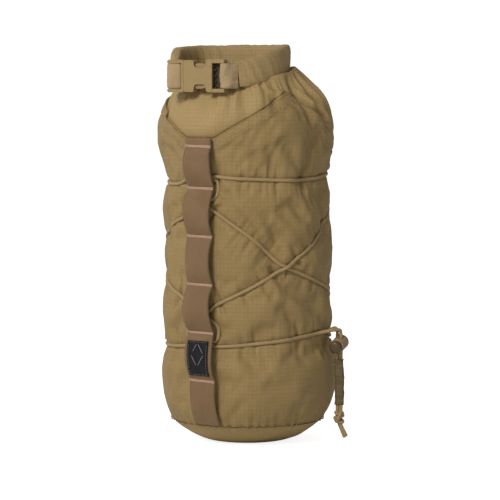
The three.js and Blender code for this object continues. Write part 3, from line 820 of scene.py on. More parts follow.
def settled(points, held):
    """The fabric grid after a cloth simulation: slightly loose cloth, pressed out from inside."""
    rows, columns = held.shape
    coarse = points[::SETTLE_STEP, ::SETTLE_STEP]
    weights = held[::SETTLE_STEP, ::SETTLE_STEP].ravel()
    flat_uv = np.zeros((coarse.shape[0], coarse.shape[1] + 1, 2))
    cloth = sheet("settling_cloth", coarse, flat_uv, SACK, wrap=True)
    pins = cloth.vertex_groups.new(name="held")
    for index, weight in enumerate(weights.tolist()):
        pins.add([index], weight, "REPLACE")
    modifier = cloth.modifiers.new("settle", "CLOTH")
    for key, value in SETTLE_CLOTH.items():
        setattr(modifier.settings, key, value)
    modifier.settings.effector_weights.gravity = 0
    modifier.collision_settings.use_collision = False
    modifier.point_cache.frame_start = 1
    modifier.point_cache.frame_end = SETTLE_FRAMES
    for moment in range(1, SETTLE_FRAMES + 1):
        bpy.context.scene.frame_set(moment)
    result = cloth.evaluated_get(bpy.context.evaluated_depsgraph_get())
    places = np.empty(coarse.size)
    result.data.vertices.foreach_get("co", places)
    shift = places.reshape(coarse.shape) / MM - coarse
    mesh = cloth.data
    bpy.data.objects.remove(cloth)
    bpy.data.meshes.remove(mesh)
    bpy.context.scene.frame_set(1)
    size = np.linalg.norm(shift, axis=2, keepdims=True)
    shift = shift * np.minimum(1, SETTLE_CAP / np.maximum(size, 1e-6))
    return points + spread_out(shift, rows, columns) * (1 - held[..., None] ** 4)


def make_body():
    columns, rows = 420, 196
    degrees, closed = around(columns)
    bottom = SEAM_Z - 0.2
    height = bottom + (chevron_z(degrees) - bottom)[None, :] * np.linspace(0, 1, rows)[:, None]
    every_degree = np.broadcast_to(degrees, height.shape)
    radius = body_surface(every_degree, height)
    # How far out and up each extra row is: tucked under at the bottom seam, hemmed at the top.
    tuck = [(-2.6, 0.9), (-1.4, -0.35), (-0.35, -0.45)]
    hem = [(0.05, 0.5), (-0.45, 0.85), (-1.1, 0.6), (-1.6, -0.8)]
    fabric = polar(degrees, radius, height)
    fabric = settled(fabric, held_fabric(every_degree, height))
    below = [polar(degrees, radius[0] + out, height[0] + up) for out, up in tuck]
    above = [polar(degrees, radius[-1] + out, height[-1] + up) for out, up in hem]
    heights = np.stack([*[height[0] + up for _, up in tuck], *height, *[height[-1] + up for _, up in hem]])
    points = np.stack([*below, *fabric, *above])
    body = sheet("body_skin", points, cloth_uv(closed, heights), SACK, wrap=True)
    placed(body, "ripstop", "sack", "body_panel")


# ---- collar above the chevron seam

# The line where the collar meets the underside of the roll: (along, forward, height) in the closure's frame.
ROLL_FOOT = [
    (-22, 20, 288), (-5, 23, 287.5), (12, 23, 288), (28, 20, 290.5), (38, 13, 293.5), (46, 4, 296),
    (48.5, -10, 298), (47, -24, 301), (40, -34, 302), (22, -39, 299), (-5, -40, 298.5), (-30, -36, 298),
    (-42, -22, 296), (-43, -7, 293), (-39, 5, 290.5), (-31, 14, 289),
]
FOOT_CENTRE = (0.0, -16.0)
SHOULDER_Z = 283.5


def loop_point(along, forward, height):
    """A point given along the closure, forward of its centre and up, in the row frame."""
    along, forward = np.asarray(along, float), np.asarray(forward, float)
    x = LOOP_CENTRE[0] + along * math.cos(LOOP_TURN) + forward * math.sin(LOOP_TURN)
    y = LOOP_CENTRE[1] + along * math.sin(LOOP_TURN) - forward * math.cos(LOOP_TURN)
    return tuples(x, y, height)


def foot_under(points):
    """For shoulder points, the point of the roll's foot that lies straight inward of each."""
    foot = catmull_rom([loop_point(*p) for p in ROLL_FOOT], 24, closed=True)
    at, wanted = [np.arctan2(p[:, 1] - FOOT_CENTRE[1], p[:, 0] - FOOT_CENTRE[0]) for p in (foot, points)]
    order = np.argsort(at)
    columns = [np.interp(wanted, at[order], column[order], period=2 * math.pi) for column in foot.T]
    return np.stack(columns, axis=1)


def collar_ripples(degrees):
    """Depth of the gathered pleats: deep and broad on the right, shallow elsewhere."""
    right = bell(apart(degrees, 12), 42)
    flat = np.radians(degrees) * 62
    pleat = np.maximum((1 - 0.8 * right) * PLEATS(flat + 9) + right * BROAD_PLEATS(flat), -0.4)
    fine = FINE_PLEATS(flat + 3) * (1 - 0.6 * right)
    deep = 1.2 + 2.9 * right + 0.5 * bell(apart(degrees, -78), 30)
    return pleat * deep + fine * 0.45


def moved(points, inward, up):
    """Points shifted inward (x, y) and up."""
    return points + np.concatenate([inward, np.broadcast_to(up, (len(points), 1))], axis=1)


def make_collar():
    columns, overlap, floor_z = 400, 7.0, 288
    degrees, closed = around(columns)
    edge = chevron_z(degrees)
    start = edge - overlap           # behind the body panel's hem
    low = start + (SHOULDER_Z - start) * np.linspace(0, 1, 44)[:, None]
    past_hem = low - edge
    under_hem = 1.2 * (1 - smoothstep(past_hem, 0.5, 9)) + 1.2 * bell(past_hem - 0.3, 1.3)
    ripples = collar_ripples(degrees)
    radius = skin_radius(degrees, low) - under_hem - ripples * smoothstep(low, 256, SHOULDER_Z) * 0.75
    lower = polar(degrees, radius, low)

    # From the shoulder in to the roll's foot: a cubic curve with a control point near each end.
    shoulder = lower[-1]
    foot = foot_under(shoulder)
    reach = foot[:, :2] - shoulder[:, :2]
    run = np.linalg.norm(reach, axis=1, keepdims=True)
    direction = reach / run
    climb = foot[:, 2:] - shoulder[:, 2:]
    first = moved(shoulder, direction * np.minimum(run * 0.3, 7), np.minimum(np.abs(climb) * 0.5, 5.5))
    second = moved(foot, -direction * np.minimum(run * 0.35, 9), -np.clip(climb * 0.45, 0.5, 6))
    t = np.linspace(0, 1, 26)[1:, None, None]
    upper = shoulder * (1 - t) ** 3 + 3 * first * t * (1 - t) ** 2
    upper = upper + 3 * second * t ** 2 * (1 - t) + foot * t ** 3
    gather = np.sin(np.pi * np.clip(t[..., 0] * 0.8 + 0.2, 0, 1))
    wrinkle = ripples * 0.9 + FINE_PLEATS(np.radians(degrees) * 90) * 0.6
    dent = 3.6 * bell(degrees + 26, 15) + 1.8 * bell(degrees - 12, 22)
    upper[..., 2] -= (wrinkle + dent) * gather

    # A floor across the mouth, out of sight under the roll.
    tucked = moved(foot, direction * 4, -1.5)
    floor_edge = moved(foot, direction * 13, (floor_z + ripples * 0.5 - foot[:, 2])[:, None])
    middle = np.array([*FOOT_CENTRE, floor_z - 1.5])
    floor = [floor_edge + (middle - floor_edge) * k - np.array([0, 0, 0.4]) * ripples[:, None] * (1 - k)
             for k in (0.0, 0.3, 0.6, 0.85, 0.97)]
    points = np.concatenate([lower, upper, tucked[None], floor])
    travelled = np.cumsum(np.linalg.norm(np.diff(points, axis=0), axis=2), axis=0)
    height = start + np.concatenate([np.zeros((1, columns)), travelled])
    collar = sheet("collar_fabric", points, cloth_uv(closed, height), LIT_YOKE, wrap=True)
    placed(collar, "ripstop", None, "collar_panel")
    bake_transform(collar)


# ---- bottom panel and seams

# Radius and height of the bottom panel, from the flat patch it stands on to its seam.
BASE_PROFILE = [
    (27, 0.35), (32, 0.6), (37.5, 2.2), (44.5, 5.4), (51.3, 9.5), (56.6, 13.8), (59.8, SEAM_Z - 0.1),
]


def make_base():
    degrees, closed = around(300)
    rounded = catmull_rom(BASE_PROFILE, 6)
    centre = tuples(np.linspace(0.4, 20, 8), BASE_PROFILE[0][1])
    profile = np.concatenate([centre, rounded]).T
    radius, height = [np.repeat(column[:, None], len(degrees), axis=1) for column in profile]
    near_seam = np.exp(-((SEAM_Z - height) / 5.5))
    radius = radius + PUCKERS(np.radians(degrees) * PUCKER_RADIUS) * 0.8 * near_seam
    radius = radius + near_seam * 0.9 * smoothstep(SEAM_Z - height, 0, 3)
    x, y, _ = np.moveaxis(polar(degrees, radius, height), -1, 0)
    sag = 0.5 * SLOW(x * 1.4 + 13) * SLOW(y * 1.3 + 51) * smoothstep(radius, 36, 46) * (1 - near_seam)
    points = polar(degrees, radius, np.maximum(height + sag, 0.15))
    closed_radius = np.concatenate([radius, radius[:, :1]], axis=1)
    uv = polar(closed, closed_radius, 0)[..., :2]
    placed(sheet("base_fabric", points[::-1], uv[::-1], BASE, wrap=True), "ripstop", "sack", "bottom_panel")


def make_base_seam():
    """Dark thread down in the seam between the body and the bottom panel."""
    stitches = 190
    degrees = np.arange(-180, 180, 360 / stitches)
    radius = body_surface(degrees, np.full(len(degrees), SEAM_Z + 0.2)) + 0.05
    points = polar(degrees, radius, SEAM_Z - 0.6 + 0.25 * PUCKERS(np.radians(degrees) * PUCKER_RADIUS + 4))
    along = unit(np.gradient(points, axis=0))
    placed(thread_bars("base_seam_stitches", points, along, outward_at(degrees), 1.6, 0.36, DARK_THREAD),
           "thread", "sack")


def on_seam(degrees, below):
    """Points of the body panel a fixed distance below its chevron edge."""
    height = chevron_z(degrees) - below
    return polar(degrees, body_surface(degrees, height), height)


def make_chevron_stitches():
    """Two rows of stitches along the felled chevron seam, left out where the webbing covers them."""
    pitch, stitch, covered = 3.3, 2.1, 9.5   # mm, mm, and degrees to each side of a chain
    rows = []
    for below in STITCH_ROWS:
        fine = np.arange(-180, 180, 0.05)
        length = lengths(polar(fine, LACE_RADIUS, chevron_z(fine) - below))
        degrees = np.interp(np.arange(0, length[-1], pitch), length, fine)
        away = np.min([np.abs(apart(degrees, chain)) for chain in CHAINS.values()], axis=0)
        degrees = degrees[away > covered]
        points = on_seam(degrees, below)
        slant = unit(on_seam(degrees + 0.2, below) - points)
        outward = outward_at(degrees)
        rows.append(thread_bars("row", points + 0.05 * outward, slant, outward, stitch, 0.27, SEAM_THREAD))
    placed(joined("chevron_stitches", rows), "thread", "sack")


make_body()
make_collar()
make_base()
make_base_seam()
make_chevron_stitches()

# ---- daisy chains, tacks and label

SIDE_BULGES = [1.4, 4.2, 4.4, 2.4, 4.4, 4.2]
BULGES = {"front": [1.6, 5.0, 6.2, 4.4, 5.6, 5.4], "right": SIDE_BULGES, "left": SIDE_BULGES}
CHAIN_SEEDS = {"front": 0.0, "right": 20.0, "left": 41.0}
WEBBING_LIFT = 0.9               # middle of the webbing above the fabric at a tack
CHAIN_FOOT, CHAIN_TOP = 18.4, 244.2
UP = np.array([0.0, 0.0, 1.0])


def base_line(height):
    """Fabric radius under a strip: the smoothed sack, held in at each tack."""
    nearest = np.min([np.abs(height - tack) for tack in TACKS], axis=0)
    return smooth_profile(height) - TACK_DEPTH * bell(nearest, 7) - 0.3


def chain_lift(side, height):
    """How far a strip's middle stands off the fabric at a height."""
    stops = [CHAIN_FOOT, *TACKS]
    lift = np.full(height.shape, WEBBING_LIFT)
    for low, high, bulge in zip(stops, stops[1:], BULGES[side]):
        t = np.clip((height - low - 1.2) / (high - low - 2.4), 0, 1)
        lift = lift + (bulge - WEBBING_LIFT) * np.sin(math.pi * t) ** 0.75
    return lift


def webbing_frame(side, height):
    """Centre, across and outward vectors of a strip at heights, with a little twist in the loops."""
    degrees, seed = CHAINS[side], CHAIN_SEEDS[side]
    lift = chain_lift(side, height)
    loose = np.clip((lift - WEBBING_LIFT) / 4, 0, 1)
    twist = (0.13 if side == "front" else 0.04) * loose * np.sin(height / 19.0 + seed) + 0.02
    drift = 0.5 * np.sin(height / 31.0 + seed)
    if side == "front":
        drift = drift + 4.0 * (1 - smoothstep(height, 10, 120))
    size = (len(height), 3)
    sideways, outward = [np.broadcast_to(outward_at(turn), size) for turn in (degrees + 90, degrees)]
    centre = polar(degrees, base_line(height) + lift, height) + sideways * drift[:, None]
    return centre, sideways * np.cos(twist)[:, None] + outward * np.sin(twist)[:, None], outward


def hem_rise(height):
    """Extra lift at the top, where the webbing passes over the felled seam."""
    return smoothstep(height, 228, 233)[:, None] * 1.3


def make_chain(side):
    height = np.linspace(CHAIN_FOOT, CHAIN_TOP, 330)
    centre, across, outward = webbing_frame(side, height)
    out = outward[-1]
    centre = centre + hem_rise(height) * outward
    # The top end is folded under: how far in and how far up each point of the fold is.
    turn_under = [(0.45, 0.75), (1.1, 0.5), (1.5, -0.4), *[(1.62, -drop) for drop in (2.0, 5.0, 8.5, 12.0)]]
    fold = [centre[-1] - out * inward + UP * rise for inward, rise in turn_under]
    centre = np.concatenate([centre, fold])
    across = np.concatenate([across, np.repeat(across[-1:], len(fold), axis=0)])
    normal = unit(np.cross(across, np.gradient(centre, axis=0)))
    normal *= np.sign(np.dot(normal[10], out))
    chain = ribbon(f"{side}_webbing", centre, across, normal, WEBBING_WIDTH, WEBBING_THICKNESS, WEBBING)
    placed(chain, "webbing", "sack", f"{side}_daisy_chain")


def make_tack(side, number, height):
    """A bar tack: a dense row of upright threads across the webbing, over two long threads."""
    count, half_row = 40, 11.9
    places = np.linspace(-half_row, half_row, count)[:, None]
    height = np.array([height])
    centre, across, outward = webbing_frame(side, height)
    surface = centre + outward * (WEBBING_THICKNESS / 2 + 0.2 + hem_rise(height))
    wobble = rng.normal(0, 0.12, (count, 1))
    points = surface + across * places + (wobble - places * 0.055) * UP
    lean = np.where(np.arange(count) % 2, 0.22, -0.22)[:, None]
    outwards = np.repeat(outward, count, axis=0)
    threads = thread_bars("threads", points, unit(UP + across * lean), outwards, 1.9, 0.34, TACK_THREAD)
    ends = surface + np.array([[-0.55], [0.55]]) * UP - outward * 0.1
    core = thread_bars("core", ends, np.repeat(across, 2, axis=0), outwards[:2], 24.6, 0.4, TACK_THREAD)
    placed(joined(f"{side}_tack_{number}", [threads, core]), "thread", "sack", f"{side}_bartack_{number}")


def make_label():
    """A plain dark woven label on the lowest front loop, turned under at both ends."""
    low, high, half_width = 58.4, 86.0, 9.4
    rows, columns = 30, 16
    height = np.linspace(low, high, rows)
    offsets = np.linspace(-half_width, half_width, columns)
    centre, across, outward = webbing_frame("front", height)
    curl = 0.35 * (offsets / half_width) ** 4
    end_curl = 0.5 * np.linspace(-1, 1, rows) ** 6
    lift = WEBBING_THICKNESS / 2 + 0.75 + curl + end_curl[:, None]
    lift = lift + 0.16 * np.sin(offsets * 0.7 + height[:, None] * 0.25)
    points = centre[:, None] + across[:, None] * offsets[None, :, None] + outward[:, None] * lift[..., None]
    label = sheet("plain_label", points, tuples(offsets[None, :], height[:, None]), LABEL, thickness=0.55)
    placed(label, "label", "sack", "label")

    def on_label(x, z):
        column = int(round((x + half_width) / (2 * half_width) * (columns - 1)))
        row = int(round((z - low) / (high - low) * (rows - 1)))
        return points[row, column] + outward[0] * 0.15

    def sewn(marks, length, radius):
        """Thread bars from (x, z, direction)."""
        places = [on_label(x, z) for x, z, _ in marks]
        ways = [way for _, _, way in marks]
        outwards = np.repeat(outward[:1], len(marks), axis=0)
        return thread_bars("bars", places, ways, outwards, length, radius, LABEL_THREAD)

    inset, pitch, way = 1.3, 2.0, across[0]
    sides = [(x, z, UP) for z in np.arange(low + 2.2, high - 1.8, pitch)
             for x in (inset - half_width, half_width - inset)]
    ends = [(x, z, way) for x in np.arange(2.4 - half_width, half_width - 1.6, pitch)
            for z in (low + inset, high - inset)]
    diamond = [(2.6 * a, 75 + 4.2 * b, way * 0.53 - UP * 0.85 * a * b) for a in (-1, 1) for b in (-1, 1)]
    threads = joined("label_threads", [sewn(sides + ends, 1.4, 0.14), sewn(diamond, 9.4, 0.26)])
    placed(threads, "thread", "sack")


for side in CHAINS:
    make_chain(side)
    for number, height in enumerate(TACKS[::-1], start=1):
        make_tack(side, number, height)
make_label()

# ---- shock cord


def make_cord():
    """The lacing, pressed into the fabric, and hanging free beside the lock."""
    degrees = np.degrees(LACE_FLAT[:, 0] / LACE_RADIUS)
    height, lift = LACE_FLAT[:, 1], LACE_FLAT[:, 2]
    sunk = 0.35                      # how far the cord is pressed into the fabric
    hung = lift > CROSSING_LIFT + 0.3
    fabric = np.where(hung, smooth_profile(height), smoothed(skin_radius(degrees, height), 5))
    radius = smoothed(fabric + lift + CORD_RADIUS - np.where(hung, 0, sunk), 2)
    cord = tube("lacing_cord", evenly(polar(degrees, radius, height), 1.25), CORD_RADIUS, CORD)
    placed(cord, "cord", None, "shock_cord")
    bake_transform(cord)


make_cord()

# ---- rolled closure

# Centre of the rolled band: (along, forward, height), and its half thickness and half height.
ROLL_PATH = [
    (-36, 23, 298.5, 4.0, 10.5), (-40.5, 11, 302.8, 5.0, 12.6), (-40.5, -6, 305, 5.8, 13.4),
    (-34, -22, 305.6, 6.0, 13.6), (-19, -30, 305.8, 6.0, 13.5), (-2, -31.5, 306, 6.0, 13.5),
    (15, -31.5, 306, 5.6, 13.4), (30, -29.4, 305.8, 4.8, 13.6), (38.6, -24, 305.6, 3.7, 13.8),
    (40.6, -14, 304.8, 4.2, 13.2), (38, 4, 302, 4.9, 12.2), (31, 19, 298.4, 4.4, 11.2),
    (19.4, 31.2, 295.6, 3.0, 10.2),
]


def make_roll():
    """The fabric mouth, wound up and bent into a loop: a flat band with the last turn's edge on it."""
    step, cells = 1.15, 72
    dense = catmull_rom(ROLL_PATH, 22)
    path = evenly(np.concatenate([loop_point(*dense[:, :3].T), dense[:, 3:]], axis=1), step)
    centre, half_thick, half_high = path[:, :3], path[:, 3:4], path[:, 4:]
    tangent = unit(np.gradient(centre, axis=0))
    inner = unit(np.cross(UP, tangent))
    inner = inner * np.sign(np.sum((loop_point(0, 0, 300) - centre) * inner, axis=1, keepdims=True))
    upward = np.cross(tangent, inner)
    upward *= np.sign(upward[:, 2:])
    turn = turns(cells)
    thick_way = np.sign(np.cos(turn)) * np.abs(np.cos(turn)) ** 0.5
    high_way = np.sign(np.sin(turn)) * np.abs(np.sin(turn)) ** 0.72
    along = lengths(centre)[:, None]
    wound = np.degrees(turn)
    sag = 0.45 * SLOW(along * 1.6 + wound * 0.25) + 0.25 * FINE_PLEATS(along * 0.9 + wound * 0.06)
    lip_at = 248 + 5 * np.sin(along / 19)
    lip = 0.95 * smoothstep(wound, lip_at - 3, lip_at) * (1 - smoothstep(wound, 350, 360))
    bend = smoothed(np.linalg.norm(np.gradient(tangent, axis=0), axis=1) / step, 4)[:, None] * 14
    on_inner = np.clip(np.cos(turn), 0, 1)
    crease = np.maximum(CREASES(along + 0.05 * wound), 0) * on_inner * np.minimum(bend, 1.6)
    grow = sag + lip - crease * 1.1
    flat = 0.75 + 0.25 * smoothstep(np.minimum(along, along[-1] - along), 0, 9)
    across = thick_way * (half_thick * flat + grow)
    high = high_way * (half_high * (0.94 + 0.06 * flat) + grow * 0.6) - 0.5 * on_inner * np.sin(along / 11)
    points = centre[:, None] + inner[:, None] * across[..., None] + upward[:, None] * high[..., None]
    spiral = np.linspace(0, 2 * (half_high.mean() * 2 + 8), cells + 1)
    roll = sheet("rolled_mouth", points, tuples(along, spiral[None, :]), LIT_ROLL, wrap=True)
    close_ends(roll, cells, len(centre))
    placed(roll, "ripstop", "roll_top", "roll_closure", "mouth_stiffener")


make_roll()

# ---- hard parts: helpers


def finished(editing):
    bmesh.ops.recalc_face_normals(editing, faces=editing.faces)
    mesh = bpy.data.meshes.new("shape")
    editing.to_mesh(mesh)
    editing.free()
    obj = bpy.data.objects.new("shape", mesh)
    bpy.context.scene.collection.objects.link(obj)
    return obj


def lofted(rings):
    """A closed shape through rings of points with the same count, in mm."""
    editing = bmesh.new()
    rings = [[editing.verts.new((x * MM, y * MM, z * MM)) for x, y, z in ring] for ring in rings]
    editing.faces.new(rings[0])
    editing.faces.new(rings[-1][::-1])
    for one, two in zip(rings, rings[1:]):
        for i in range(len(one)):
            j = (i + 1) % len(one)
            editing.faces.new((one[j], one[i], two[i], two[j]))
    return finished(editing)


def prism(outline, low, high):
    """A block with an (x, z) outline, from y low to y high."""
    return lofted([[(x, y, z) for x, z in outline] for y in (low, high)])


def brick(x, y, z):
    return prism([(x[0], z[0]), (x[1], z[0]), (x[1], z[1]), (x[0], z[1])], *y)


def turned(profile, sides=48):
    """A closed shape turned round the y axis from (y, radius) pairs."""
    circle = [(math.cos(turn), math.sin(turn)) for turn in turns(sides)]
    return lofted([[(radius * x, y, radius * z) for x, z in circle] for y, radius in profile])


def applied(obj):
    """The object's mesh with its modifiers worked in."""
    bpy.context.view_layer.update()
    graph = bpy.context.evaluated_depsgraph_get()
    mesh = bpy.data.meshes.new_from_object(obj.evaluated_get(graph))
    obj.modifiers.clear()
    obj.data = mesh


def hard_part(name, adds, cuts, bevel, material, place):
    """Joins and cuts shapes, rounds every edge, and puts the result in place."""
    body, *adds = adds
    for other, operation in [(a, "UNION") for a in adds] + [(c, "DIFFERENCE") for c in cuts]:
        step = body.modifiers.new("step", "BOOLEAN")
        step.operation = operation
        step.solver = "EXACT"
        step.object = other
    applied(body)
    for other in adds + cuts:
        bpy.data.objects.remove(other)
    rounding = body.modifiers.new("rounding", "BEVEL")
    rounding.width = bevel * MM
    rounding.segments = 3
    rounding.limit_method = "ANGLE"
    rounding.angle_limit = math.radians(28)
    rounding.harden_normals = True
    body.data.polygons.foreach_set("use_smooth", [True] * len(body.data.polygons))
    applied(body)
    body.data.transform(place)
    body.data.materials.clear()
    body.data.materials.append(material)
    body.name = body.data.name = name
    return body


def flipped(outline):
    """An outline turned upside down, still running the same way round."""
    return [(x, -z) for x, z in outline[::-1]]


# ---- buckle and its webbing

BUCKLE_ORIGIN = loop_point(-22, 38, BUCKLE_Z)
BUCKLE_PLACE = Matrix.Translation(Vector(BUCKLE_ORIGIN * MM)) @ Matrix.Rotation(LOOP_TURN, 4, "Z")


def turned_in(points, angle, origin):
    """Points in a frame turned about Z and moved to an origin, in the row frame."""
    return np.asarray(points, float) @ np.array(Matrix.Rotation(angle, 3, "Z")).T + origin


def make_socket():
    upper = [
        (0.0, 11.6), (0.6, 12.4), (7.6, 12.6), (8.5, 11.7), (9.0, 8.4), (9.6, 7.1), (10.8, 6.5), (16.6, 6.5),
        (17.9, 7.1), (18.6, 8.3), (19.2, 11.6), (20.2, 12.6), (24.2, 12.6),
    ]
    ear = [(20, 10.0), (34.0, 10.0), (34.6, 10.9), (34.4, 12.2), (33.6, 12.9), (20, 12.9)]
    ears = [prism(shape, -4.1, 3.1) for shape in (ear, flipped(ear))]
    adds = [prism(upper + flipped(upper), -4.5, 4.5), *ears, brick((32.0, 34.3), (-1.7, 1.7), (-11, 11))]
    cavity = [brick((-1, 20.5), (-2.9, 2.9), (-10, 10)), brick((21.8, 25), (-2.2, 2.2), (-9.4, 9.4))]
    socket = hard_part("buckle_female", adds, cavity, 0.55, ACETAL, BUCKLE_PLACE)
    placed(socket, "buckle", "roll_top", "buckle_socket")
    # Ribs and a thin plate in the slot before the bar, in near-black acetal: painted shade of the slot.
    ribs = [brick((24.0, 26.6), (-1.2, 1.2), (-9.6 + step * 4.6, -8.6 + step * 4.6)) for step in range(5)]
    ribs.append(brick((24.0, 30.4), (1.0, 1.5), (-9.9, 9.9)))
    placed(hard_part("buckle_ribs", ribs, [], 0.15, SHADED_ACETAL, BUCKLE_PLACE), "buckle", "roll_top")


def make_plug():
    rail = [(-14.2, 10.1), (-14.4, 11.6), (-13.4, 12.8), (-0.3, 12.8), (-0.3, 10.1)]
    tongue = [(0, -1.7), (17.6, -1.7), (19, -0.6), (19, 0.6), (17.6, 1.7), (0, 1.7)]
    shoulder = brick((-2.2, -0.3), (-4.1, 4.1), (-12.3, 12.3))
    root = brick((-1, 0.5), (-2.5, 2.5), (-9.6, 9.6))
    bar = brick((-12.4, -5.2), (-1.4, 1.4), (-11, 11))
    rails = [prism(shape, -3.6, 2.6) for shape in (rail, flipped(rail))]
    adds = [shoulder, *rails, root, prism(tongue, -2.3, 2.3), bar]
    placed(hard_part("buckle_male", adds, [], 0.5, ACETAL, BUCKLE_PLACE), "buckle", "plug", "buckle_plug")


def make_prongs():
    outline = [
        (0.95, 5.9), (8.4, 5.9), (9.4, 5.0), (16.6, 5.0), (17.8, 5.6), (18.4, 6.8), (18.2, 8.4),
        (17.0, 9.4), (15.4, 9.8), (12.8, 9.9), (10.2, 9.8), (9.3, 9.3), (8.6, 8.1), (0.95, 8.1),
    ]
    for name, sign, shape in (("prong_upper", 1, outline), ("prong_lower", -1, flipped(outline))):
        ridge = sorted((9.3 * sign, 9.95 * sign))
        ridges = [brick((at, at + 0.7), (-2.0, 2.0), ridge) for at in (11.4, 13.2, 15)]
        prong = hard_part(f"buckle_{name}", [prism(shape, -2.3, 2.3), *ridges], [], 0.4, ACETAL, BUCKLE_PLACE)
        placed(prong, "buckle", name, name)


def make_tab(name, route, pucker):
    """A short webbing loop round a buckle bar, from (x, y) points in the buckle's frame."""
    route = evenly(catmull_rom(route, 10), 0.55)
    half = STRAP_WIDTH / 2
    z = np.linspace(-half, half, 19)
    tangent = unit(np.gradient(route, axis=0))
    normal = np.stack([tangent[:, 1], -tangent[:, 0]], axis=1)
    length = lengths(route)[:, None]
    wave = pucker * (SLOW(length * 5 + z * 2.2) + 0.5 * FINE_PLEATS(z * 1.2 + length * 0.3))
    across = np.abs(z) / half
    layers = []
    for side in (1, -1):
        shift = wave - 0.25 * across ** 6 + side * STRAP_THICKNESS / 2 * (1 - across ** 12 * 0.8)
        xy = route[:, None, :] + normal[:, None, :] * shift[..., None]
        layers.append(tuples(xy[..., 0], xy[..., 1], z)[:, ::side])
    grid = turned_in(np.concatenate(layers, axis=1), LOOP_TURN, BUCKLE_ORIGIN)
    around_z = np.concatenate([z, z[::-1], z[:1]])
    tab = sheet(name, grid, tuples(around_z[None, :], length), TAB, wrap=True)
    close_ends(tab, grid.shape[1], len(route))
    return tab


def make_straps():
    socket_strap = make_tab("socket_strap", [
        (42.0, 5.4), (40.4, 3.0), (39.0, 0.5), (37.6, -1.5), (36.0, -2.8), (34.2, -3.3), (32.0, -2.9),
        (30.9, -1.0), (31.0, 1.4), (32.6, 3.0), (34.8, 3.6), (36.8, 5.0), (38.8, 7.2), (41.2, 9.2)], 0.4)
    placed(socket_strap, "webbing", "roll_top", "socket_tab")
    plug_strap = make_tab("plug_strap", [
        (-15.6, 21), (-16.2, 14), (-16.2, 7), (-15.6, 1.5), (-14.0, -2.2), (-11.0, -3.2), (-6.6, -3.0),
        (-3.9, -2.2), (-3.1, 0), (-4.1, 2.2), (-7.6, 3.4), (-11.2, 6), (-12.0, 12), (-11.8, 20)], 0.22)
    placed(plug_strap, "webbing", None, "plug_tab")
    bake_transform(plug_strap)


make_socket()
make_plug()
make_prongs()
make_straps()

# ---- cord lock and pull

PULL_ORIGIN = polar(PULL_ANGLE, PULL_RADIUS, LOCK_Z)
PULL_PLACE = Matrix.Translation(Vector(PULL_ORIGIN * MM)) @ Matrix.Rotation(math.radians(PULL_ANGLE), 4, "Z")
LOCK_PLACE = PULL_PLACE @ Matrix.Rotation(LOCK_TILT, 4, "X")
TAIL_SPACING = 1.55              # half the distance between the two cords


def pull_points(points):
    """Points in the pull's frame (x away from the sack, y round it, z from the floor) in the row frame."""
    return turned_in(np.asarray(points, float) - LOCK_Z * UP, math.radians(PULL_ANGLE), PULL_ORIGIN)


def make_lock():
    shell = turned([(-6.2, 4.9), (-6.2, 5.5), (-5.9, 5.8), (-5.2, 5.9), (-4.6, 5.6), (-4.2, 5.6), (-3.6, 5.9),
                    (6.6, 5.9), (7.7, 5.5), (8.4, 4.7), (8.7, 3.2), (8.75, 1.0)])
    cuts = [turned([(-7.5, 4.25), (7.4, 4.25), (7.6, 4.0)]), brick((-3.2, 3.2), (-3.1, 3.1), (-8, 8))]
    barrel = hard_part("lock_barrel", [shell], cuts, 0.3, LIGHT_ACETAL, LOCK_PLACE)
    placed(barrel, "buckle", "cord_lock", "cord_lock_barrel")
    cap = turned([(-12.0, 0.6), (-11.95, 2.4), (-11.6, 3.9), (-11.0, 4.7), (-10.2, 5.0), (-9.2, 5.0),
                  (-8.75, 4.6), (-8.7, 3.95), (3.4, 3.95), (3.9, 3.5)])
    slot = brick((-3.2, 3.2), (-5.3, 3.05), (-8, 8))
    button = hard_part("lock_button", [cap], [slot], 0.25, DARK_ACETAL, LOCK_PLACE)
    placed(button, "button", "button", "cord_lock_button")


def strand(route, samples, step):
    return tube("strand", evenly(pull_points(catmull_rom(route, samples)), step), CORD_RADIUS, CORD)


def make_tail_cords():
    """The two cords from inside the lock to the knot."""
    strands = []
    for sign in (-1, 1):
        straight = [(sign * TAIL_SPACING, 0, height) for height in (88.5, 80, 70, 60, 38)]
        strands.append(strand([*straight, (sign * 1.5, 0.2, 30), (sign * 1.3, 0, 24)], 12, 1.2))
    cords = joined("pull_cords", strands)
    placed(cords, "cord", None, "cord_tails")
    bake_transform(cords)


def make_knot():
    """An overhand knot in the doubled cord, with two cut ends."""
    turn = np.arange(0, 2 * math.pi, 0.16)
    strands = []
    for height, tilt, wide, deep, push in ((18.3, -0.35, 2.9, 2.5, 0.1), (21.4, 0.28, 3.2, 2.7, -0.1),
                                           (24.3, -0.22, 2.7, 2.4, 0.15)):
        x, y = wide * np.cos(turn), deep * np.sin(turn)
        loop = tuples(x + push, y, height + tilt * x + 0.5 * np.sin(turn))
        loop = np.concatenate([loop, loop[:2]])
        strands.append(tube("strand", pull_points(loop), CORD_RADIUS, CORD, cap=False))
    bridge = catmull_rom([(-1.2, -3.2, 17.5), (0.6, -4.0, 20), (1.6, -3.9, 22.5), (2.4, -2.4, 25.5)], 8)
    strands.append(tube("strand", pull_points(bridge), CORD_RADIUS, CORD))
    strands.append(strand([(0.4, -0.6, 19), (1.6, -0.8, 15.5), (3.6, -1.0, 11.5), (6.6, -1.4, 6.4)], 8, 1.0))
    strands.append(strand([(-0.8, 0.8, 19), (0.2, 0.9, 15), (2.2, 0.8, 10.5), (4.6, 0.4, 5.2)], 8, 1.0))
    placed(joined("pull_knot", strands), "cord", "pull")


